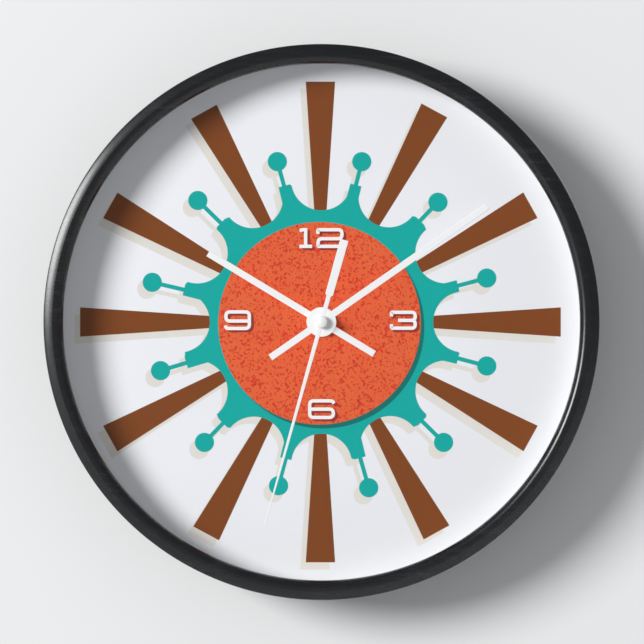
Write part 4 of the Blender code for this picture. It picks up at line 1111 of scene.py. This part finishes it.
    def stroke_piece(self, name: str, layer: int, ink: Finishes, offset: Sequence[float] = (0, 0)) -> None:
        """Make the numerals, or their shade, each stroke a hair above the one before.

        Args:
            name: the piece's name.
            layer: place in the stack of films, 0 next to the dial.
            ink: its finish.
            offset: how far right and up it is moved.
        """
        shell = Shell()
        low, high = self.levels(layer)
        for number, line in enumerate(self.numerals()):
            lift = self.stroke_lift * (number % 4)
            shell.ribbon((line + np.asarray(offset)) * self.grow, self.stroke, low + lift, high + lift)
        shell.piece(name, ink, slot="dial_paper")

    def build(self) -> None:
        """Print the films from the dial up."""
        shade = np.add(self.disc_centre, self.disc_shade_offset)
        bar_shade = np.add(self.bar_shift, self.shade_offset)
        self.film_piece("print_bar_shade", self.bars(), 0, Finishes.BEIGE_INK, bar_shade)
        self.star_piece("print_star_shade", 1, Finishes.BEIGE_INK, self.shade_offset)
        self.film_piece("print_bars", self.bars(), 2, Finishes.BAR_INK, self.bar_shift)
        self.star_piece("print_star", 3, Finishes.STAR_INK)
        self.ring_piece("print_disc_shade", self.disc_inner, self.disc_radius, 4, Finishes.DEEP_TEAL_INK, shade)
        self.ring_piece("print_disc", self.disc_inner, self.disc_radius, 5, Finishes.DISC_INK, self.disc_centre)
        self.stroke_piece("print_numeral_shade", 6, Finishes.MAROON_INK, self.numeral_shade_offset)
        self.stroke_piece("print_numerals", 7, Finishes.WHITE_INK)


def along(clock_degrees: float, reach: np.ndarray, across: np.ndarray) -> np.ndarray:
    """Points at a reach along a direction and a distance clockwise across it.

    Args:
        clock_degrees: the direction.
        reach: distances along it.
        across: distances across it.

    Returns:
        Points of (right, up).
    """
    angle = math.radians(clock_degrees)
    out, side = np.array([math.sin(angle), math.cos(angle)]), np.array([math.cos(angle), -math.sin(angle)])
    return np.outer(reach, out) + np.outer(across, side)


def rounded(corners: Sequence[Sequence[float]], radii: Sequence[float]) -> np.ndarray:
    """Line through corners with each inner corner replaced by a quarter-like arc.

    The arc is a quadratic Bezier curve between points one radius before and after the corner.

    Args:
        corners: the corners of the line.
        radii: one radius for each inner corner.

    Returns:
        Points of the rounded line.
    """
    points = np.asarray(corners, float)
    parts = [points[:1]]
    share = np.linspace(0, 1, 9)[:, None]
    for before, corner, after, radius in zip(points[:-2], points[1:-1], points[2:], radii):
        into, out = before - corner, after - corner
        start = corner + into / np.linalg.norm(into) * min(radius, np.linalg.norm(into) * 0.5)
        end = corner + out / np.linalg.norm(out) * min(radius, np.linalg.norm(out) * 0.5)
        parts.append((1 - share) ** 2 * start + 2 * share * (1 - share) * corner + share**2 * end)
    parts.append(points[-1:])
    return np.concatenate(parts)


# ---------------------------------------------------------------- hands
@dataclass
class BatonHand:
    """Flat pressed baton with a round hub and a collet that grips its tube."""

    name: str
    body: str
    clock_degrees: float
    tip: float
    tail: float
    bore: float
    collet: float
    width: float = 3.1
    hub: float = 6.8
    sheet: float = 0.5
    edge: float = 0.12
    collet_edge: float = 0.1

    def reach(self, angle: np.ndarray, inset: float) -> np.ndarray:
        """Distance from the shaft to the outline, drawn in by an inset.

        It is the larger of the hub's radius and, on each side, the smaller of the distances to
        the bar's long edge, half its width over sin(angle), and to its end, its length over
        cos(angle).

        Args:
            angle: angles from the tip, in radians.
            inset: how far the outline is drawn in.

        Returns:
            One distance for each angle.
        """
        sine = np.maximum(np.abs(np.sin(angle)), 1e-9)
        cosine = np.maximum(np.abs(np.cos(angle)), 1e-9)
        length = np.where(np.cos(angle) > 0, self.tip, self.tail) - inset
        bar = np.minimum((self.width / 2 - inset) / sine, length / cosine)
        return np.maximum(self.hub - inset, bar)

    def angles(self) -> np.ndarray:
        """Angles from the tip that include every corner of the outline.

        Returns:
            Angles in radians, from 0 round the tail and back.
        """
        half = self.width / 2
        keys = [0.0, math.asin(half / self.hub)]
        keys += [math.atan2(half - inset, self.tip - inset) for inset in (0.0, self.edge)]
        back = [0.0, math.asin(half / self.hub)]
        back += [math.atan2(half - inset, self.tail - inset) for inset in (0.0, self.edge)]
        side = np.concatenate([keys, math.pi - np.array(back), np.linspace(0.24, math.pi - 0.24, 32)])
        side = np.unique(np.round(side, 7))
        return np.concatenate([side, -side[1:-1][::-1]])

    def build(self) -> None:
        """Carry the hand's section round the shaft, as far out as its outline reaches."""
        low = heights(self.name)[0]
        high = low + self.sheet
        top = heights(self.name)[1]
        angle = self.angles()
        outer, inset = self.reach(angle, 0.0), self.reach(angle, self.edge)
        flat = np.ones_like(angle)
        rings = [
            (self.bore * flat, low), (inset, low), (outer, low + self.edge), (outer, high - self.edge),
            (inset, high), (self.collet * flat, high), (self.collet * flat, top - self.collet_edge),
            ((self.collet - self.collet_edge) * flat, top), (self.bore * flat, top),
        ]
        turn = angle + math.radians(self.clock_degrees)
        columns = [np.stack([r * np.sin(turn), r * np.cos(turn), np.full_like(turn, h)], axis=-1) for r, h in rings]
        made = Shell().grid(np.stack(columns, axis=1), around=True, across=True).piece(
            f"{self.name}_baton", Finishes.HAND_PAINT, self.body, "white_painted_aluminium", [self.name], 25.0)
        made.visible_shadow = False


@dataclass
class SecondsHand:
    """Tapering needle with a paddle tail, and a small turned cap on the shaft."""

    clock_degrees: float = 195.6
    tip: float = 96.8
    tail: float = 39.1
    needle_root: float = 2.0
    needle_tip: float = 0.6
    paddle_start: float = 12.2
    paddle_shoulder: float = 1.0
    paddle_near: float = 3.6
    paddle_far: float = 3.9
    end_cut: float = 0.3
    corner_cut: float = 0.4
    sheet: float = 0.5
    edge: float = 0.1
    cap_radius: float = 2.9
    cap_crown: float = 6.0
    cap_round: float = 0.9
    cap_drop: float = 0.3

    def blade(self) -> Shell:
        """Carry a flat section with eased edges along the hand, its width given point by point.

        Returns:
            The blade as a closed shell.
        """
        shoulder = np.linspace(0, 1, 7)
        ease = shoulder * shoulder * (3 - 2 * shoulder)
        place = np.concatenate([
            [self.tip, self.tip - self.edge, 0.0],
            -self.paddle_start - self.paddle_shoulder * shoulder,
            [-self.tail + self.end_cut, -self.tail],
        ])
        width = np.concatenate([
            [self.needle_tip * 0.6, self.needle_tip, self.needle_root],
            self.needle_root + (self.paddle_near - self.needle_root) * ease,
            [self.paddle_far, self.paddle_far - self.corner_cut],
        ])
        low = heights("seconds_hand")[0] + self.cap_drop
        high, cut = low + self.sheet, self.edge
        half = width[:, None] / 2
        inner = np.maximum(half - cut, half * 0.5)
        across = np.concatenate([-inner, inner, half, half, inner, -inner, -half, -half], axis=1)
        level = np.array([low, low, low + cut, high - cut, high, high, high - cut, low + cut])
        turn = math.radians(self.clock_degrees)
        right = place[:, None] * math.sin(turn) + across * math.cos(turn)
        up = place[:, None] * math.cos(turn) - across * math.sin(turn)
        rows = np.stack([right, up, np.broadcast_to(level, right.shape)], axis=-1)
        middle = rows.mean(axis=1, keepdims=True).repeat(8, axis=1)
        return Shell().grid(np.concatenate([middle[:1], rows, middle[-1:]]), across=True)

    def cap(self) -> Shell:
        """Turn the cap: a short drum whose crowned top runs into a soft round edge.

        The two arcs meet at the slope whose sine is (cap radius - round) / (crown - round).

        Returns:
            The cap as a closed shell.
        """
        low, high = heights("seconds_hand")
        slope = math.asin((self.cap_radius - self.cap_round) / (self.cap_crown - self.cap_round))
        meet = 90 - math.degrees(slope)
        crown = arc((0, high - self.cap_crown), self.cap_crown, 90, meet, 8)
        middle = (self.cap_radius - self.cap_round, crown[-1, 1] - self.cap_round * math.cos(slope))
        side = arc(middle, self.cap_round, meet, 0, 8)[1:]
        foot = [(self.cap_radius, low + 0.08), (self.cap_radius - 0.1, low), (0, low)]
        profile = np.concatenate([crown, side, foot])
        return Shell().turned(profile, 96, loop=False)

    def build(self) -> None:
        """Make the blade and the cap."""
        slot = "white_painted_aluminium"
        made = self.blade().piece("seconds_blade", Finishes.HAND_PAINT, "seconds", slot, ["seconds_hand"])
        made.visible_shadow = False
        self.cap().piece("seconds_cap", Finishes.HAND_PAINT, "seconds", slot)


# ---------------------------------------------------------------- shaft fixings
@dataclass
class ShaftFixings:
    """Thread on the collar, hex nut, washer and gasket."""

    hole: float = 4.07
    flats: float = 11.0
    washer: float = 7.0
    gasket: float = 11.0
    washer_edge: float = 0.12
    gasket_edge: float = 0.15
    nut_edge: float = 0.15
    thread_root: float = 3.84
    thread_crest: float = 4.02
    thread_pitch: float = 0.75
    thread_pull: float = 0.5
    ridge_share: float = 0.42
    steps_a_turn: int = 48

    def nut(self) -> Shell:
        """Hexagon whose corners are cut by a cone at both ends.

        The distance out is the smaller of the hexagon's, half the flats over cos(angle from the
        flat's middle), and the cone's, which grows with the depth below the end face.

        Returns:
            The nut as a closed shell.
        """
        low, high = heights("hex_nut")
        turn = np.radians(np.arange(0, 360, 2.5))
        hexagon = self.flats / 2 / np.cos((turn % (math.pi / 3)) - math.pi / 6)
        cuts = np.array([0.0, 0.12, 0.3, 0.5])
        level = np.concatenate([low + cuts, high - cuts[::-1]])
        depth = np.minimum(level - low, high - level)
        cone = self.flats / 2 - self.nut_edge + depth * math.sqrt(3)
        out = np.minimum(hexagon[:, None], cone[None, :])
        bore = np.full((len(turn), 1), self.hole)
        full_out = np.concatenate([bore, out, bore], 1)
        full_level = np.concatenate([[low], level, [high]])
        points = [full_out * np.cos(turn)[:, None], full_out * np.sin(turn)[:, None],
                  np.broadcast_to(full_level, full_out.shape)]
        return Shell().grid(np.stack(points, axis=-1), around=True, across=True)

    def thread(self) -> Shell:
        """Carry a triangular ridge along a helix: height grows by one pitch for each turn.

        Returns:
            The thread as a closed shell.
        """
        low, high = heights("washer")[0], heights("movement_case")[1] - self.thread_pull
        turns = (high - low) / self.thread_pitch
        turn = np.linspace(0, turns * 2 * math.pi, int(turns * self.steps_a_turn))
        fade = np.clip(np.minimum(turn, turn[-1] - turn) / math.pi, 0.02, 1)
        rise = low + turn / (2 * math.pi) * self.thread_pitch
        crest = self.thread_root + (self.thread_crest - self.thread_root) * fade
        half = self.thread_pitch * self.ridge_share * fade
        root = np.full_like(turn, self.thread_root)
        out = np.stack([root, crest, crest, root], 1)
        level = np.stack([rise - half, rise - half * 0.2, rise + half * 0.2, rise + half], 1)
        rows = np.stack([out * np.cos(turn)[:, None], out * np.sin(turn)[:, None], level], axis=-1)
        middle = rows.mean(axis=1, keepdims=True).repeat(4, axis=1)
        return Shell().grid(np.concatenate([middle[:1], rows, middle[-1:]]), across=True)

    def build(self) -> None:
        """Make the thread, nut, washer and gasket."""
        self.thread().piece("collar_thread", Finishes.CASE, slot="black_plastic")
        self.nut().piece("collar_nut", Finishes.BRASS, slot="brass", replaces=["hex_nut"], crease=20.0)
        washer, gasket = (self.hole, self.washer), (self.hole, self.gasket)
        ring_for("washer", "dial_washer", Finishes.BRASS, "brass", washer, self.washer_edge)
        ring_for("gasket", "rubber_gasket", Finishes.RUBBER, "black_rubber", gasket, self.gasket_edge)


# ---------------------------------------------------------------- cell
@dataclass
class DryCell:
    """Round dry cell: a foil jacket crimped over both ends, a raised nub and a flat base."""

    nub_radius: float = 2.75
    nub: float = 1.3
    nub_round: float = 0.4
    inset: float = 0.08
    crimp: float = 0.5
    base_radius: float = 4.3
    dish: float = 0.25
    steps: int = 72

    def profile(self, length: float, radius: float) -> np.ndarray:
        """Section of the cell: a rounded nub, a crimped and slightly sunk jacket, a dished base.

        Args:
            length: distance from the nub's face to the base.
            radius: radius of the crimped ends.

        Returns:
            Points of (radius, distance from the nub's face), from the nub to the base.
        """
        end = length
        return np.concatenate([
            [(0, 0.0), (self.nub_radius - self.nub_round, 0.0)],
            arc((self.nub_radius - self.nub_round, self.nub_round), self.nub_round, -90, 0, 4),
            [(self.nub_radius, self.nub - 0.1), (self.nub_radius + 0.3, self.nub + 0.15),
             (radius - 1.5, self.nub + 0.15), (radius - 1.3, self.nub)],
            arc((radius - self.crimp, self.nub + self.crimp), self.crimp, -90, 0, 5),
            [(radius, self.nub + 1.3), (radius - self.inset, self.nub + 1.6)],
            [(radius - self.inset, end - 1.6), (radius, end - 1.3)],
            arc((radius - self.crimp, end - self.crimp), self.crimp, 0, 90, 5),
            [(radius - 1.4, end), (radius - 1.6, end - self.dish), (self.base_radius + 0.3, end - self.dish)],
            [(self.base_radius, end), (0, end)],
        ])

    def build(self) -> None:
        """Turn the cell about its own axis, which runs to the right through its bay."""
        low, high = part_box("battery")
        centre_height = -(low.y + high.y) / 2 / MM
        centre_up = ((low.z + high.z) / 2 - AXIS_UP) / MM
        radius, right = (high.z - low.z) / 2 / MM, high.x / MM
        profile = self.profile((high.x - low.x) / MM, radius)
        turn = np.linspace(0, 2 * math.pi, self.steps, endpoint=False)[:, None]
        out, along_axis = profile[None, :, 0], profile[None, :, 1]
        points = [right - along_axis + 0 * turn, centre_up + out * np.cos(turn), centre_height + out * np.sin(turn)]
        shell = Shell().grid(np.stack(points, axis=-1), around=True)
        jacket = Jacket("cell_jacket", linear(38, 44, 58), 0.34, start=right)
        made = shell.piece("dry_cell", Finishes.NICKEL, "battery", "cell_jacket", ["battery"])
        made.data.materials[0] = jacket.material()


# ---------------------------------------------------------------- carried-over nodes
class Dressing:
    """Finishes of the CAD nodes that are shown as they are."""

    finishes: dict[Finishes, tuple[str, ...]] = {
        Finishes.POINT_STEEL: tuple(f"retaining_point_{number}" for number in range(1, 7)),
        Finishes.ZINC: ("hanger_plate",),
        Finishes.CASE: ("movement_case",),
        Finishes.COVER: ("movement_cover",),
        Finishes.KNOB: ("setting_knob",),
        Finishes.ACETAL: (
            "middle_plate", "seconds_wheel", "third_wheel", "centre_wheel", "intermediate_wheel", "rotor_pinion"),
        Finishes.CREAM_ACETAL: ("minute_arbor", "motion_wheel", "hour_wheel"),
        Finishes.FERRITE: ("rotor_magnet",),
        Finishes.IRON: ("stator", "coil_core"),
        Finishes.NYLON: ("coil_bobbin",),
        Finishes.COPPER: ("coil_winding",),
        Finishes.LAMINATE: ("circuit_board",),
        Finishes.EPOXY: ("controller_chip",),
        Finishes.CAN: ("quartz_crystal",),
        Finishes.SPRING: ("clutch_spring",),
        Finishes.NICKEL: ("positive_contact", "negative_contact"),
    }

    def build(self) -> None:
        """Put each finish in its nodes' material slots."""
        for finish, names in self.finishes.items():
            for name in names:
                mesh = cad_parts[name].data
                mesh.materials.clear()
                mesh.materials.append(finish.value.material())
                log.info("%s: finished in %s", name, finish.value.name)


# ---------------------------------------------------------------- room
@dataclass
class Room:
    """Pale wall and floor, soft studio lamps and a camera square on to the dial.

    The camera's sizes are in mm; the room's and the lamps' are in metres and watts.
    """

    lens: float = 200.0
    view_width: float = 294.5
    subject_height: float = 36.0
    lamp_bearing: float = 289.0
    lamp_tilt: float = 49.5
    lamp_distance: float = 6.0
    lamp_size: float = 2.4
    lamp_power: float = 388.0
    sky: float = 0.385
    sky_tint: Colour = (0.975, 1.0, 1.025)
    rear_offset: tuple[float, float, float] = (0.7, 1.2, 0.6)
    rear_size: float = 0.8
    rear_power: float = 26.0
    half_wall: float = 2.5
    wall_gap: float = 0.0002
    floor_drop: float = 0.30
    camera_right: float = 0.23
    clock_middle: float = 0.02
    far_clip: float = 50.0

    def surface(self, name: str, corners: Sequence[Sequence[float]], finish: Finishes) -> bpy.types.Object:
        """Flat surface that isn't part of the clock.

        Args:
            name: the surface's name.
            corners: its four corners.
            finish: its finish.

        Returns:
            The new object.
        """
        mesh = bpy.data.meshes.new(name)
        mesh.from_pydata(corners, [], [(0, 1, 2, 3)])
        mesh.materials.append(finish.value.material())
        made = bpy.data.objects.new(name, mesh)
        bpy.context.scene.collection.objects.link(made)
        return made

    def lamp(self, name: str, place: Vector, aim: Vector, size: float, power: float) -> None:
        """Round soft lamp that points at the clock.

        Args:
            name: the lamp's name.
            place: where it stands.
            aim: the point it faces.
            size: its diameter.
            power: its power.
        """
        data = bpy.data.lights.new(name, "AREA")
        data.shape, data.size, data.energy = "DISK", size, power
        made = bpy.data.objects.new(name, data)
        made.location = place
        made.rotation_euler = (aim - place).to_track_quat("-Z", "Y").to_euler()
        bpy.context.scene.collection.objects.link(made)

    def build(self) -> None:
        """Set up the room."""
        s, floor, gap = self.half_wall, -self.floor_drop, self.wall_gap
        wall = [(-s, gap, floor), (s, gap, floor), (s, gap, s), (-s, gap, s)]
        self.surface("wall", wall, Finishes.WALL).visible_shadow = False
        ground = [(-s, -s, floor), (s, -s, floor), (s, s, floor), (-s, s, floor)]
        self.surface("floor", ground, Finishes.FLOOR).visible_diffuse = False
        centre = Vector((0, -self.clock_middle, AXIS_UP))
        bearing, tilt = math.radians(self.lamp_bearing), math.radians(self.lamp_tilt)
        toward = Vector((math.sin(tilt) * math.sin(bearing), -math.cos(tilt), math.sin(tilt) * math.cos(bearing)))
        self.lamp("key_lamp", centre + toward * self.lamp_distance, centre, self.lamp_size, self.lamp_power)
        self.lamp("rear_lamp", centre + Vector(self.rear_offset), centre, self.rear_size, self.rear_power)
        world = bpy.data.worlds.new("studio")
        world.use_nodes = True
        background = world.node_tree.nodes["Background"]
        background.inputs[0].default_value = rgba(self.sky_tint)
        background.inputs[1].default_value = self.sky
        bpy.context.scene.world = world
        data = bpy.data.cameras.new("camera")
        data.lens = self.lens
        distance = self.view_width * MM / (data.sensor_width / self.lens) + self.subject_height * MM
        camera = bpy.data.objects.new("camera", data)
        camera.location = (self.camera_right * MM, -distance, AXIS_UP)
        camera.rotation_euler = (math.radians(90), 0, 0)
        data.clip_end = self.far_clip
        bpy.context.scene.collection.objects.link(camera)
        bpy.context.scene.camera = camera
        bpy.context.scene.view_settings.view_transform = "Standard"


def main() -> None:
    """Build the looks of every sub-assembly in order."""
    WoodenFrame().build()
    Glazing().build()
    DialPrint().build()
    ShaftFixings().build()
    BatonHand("hour_hand", "hours", 301.2, 61.0, 28.4, 2.67, 3.47).build()
    BatonHand("minute_hand", "minutes", 55.1, 93.2, 28.6, 1.82, 2.62).build()
    SecondsHand().build()
    DryCell().build()
    Dressing().build()
    Room().build()


if __name__ == "__main__":
    main()
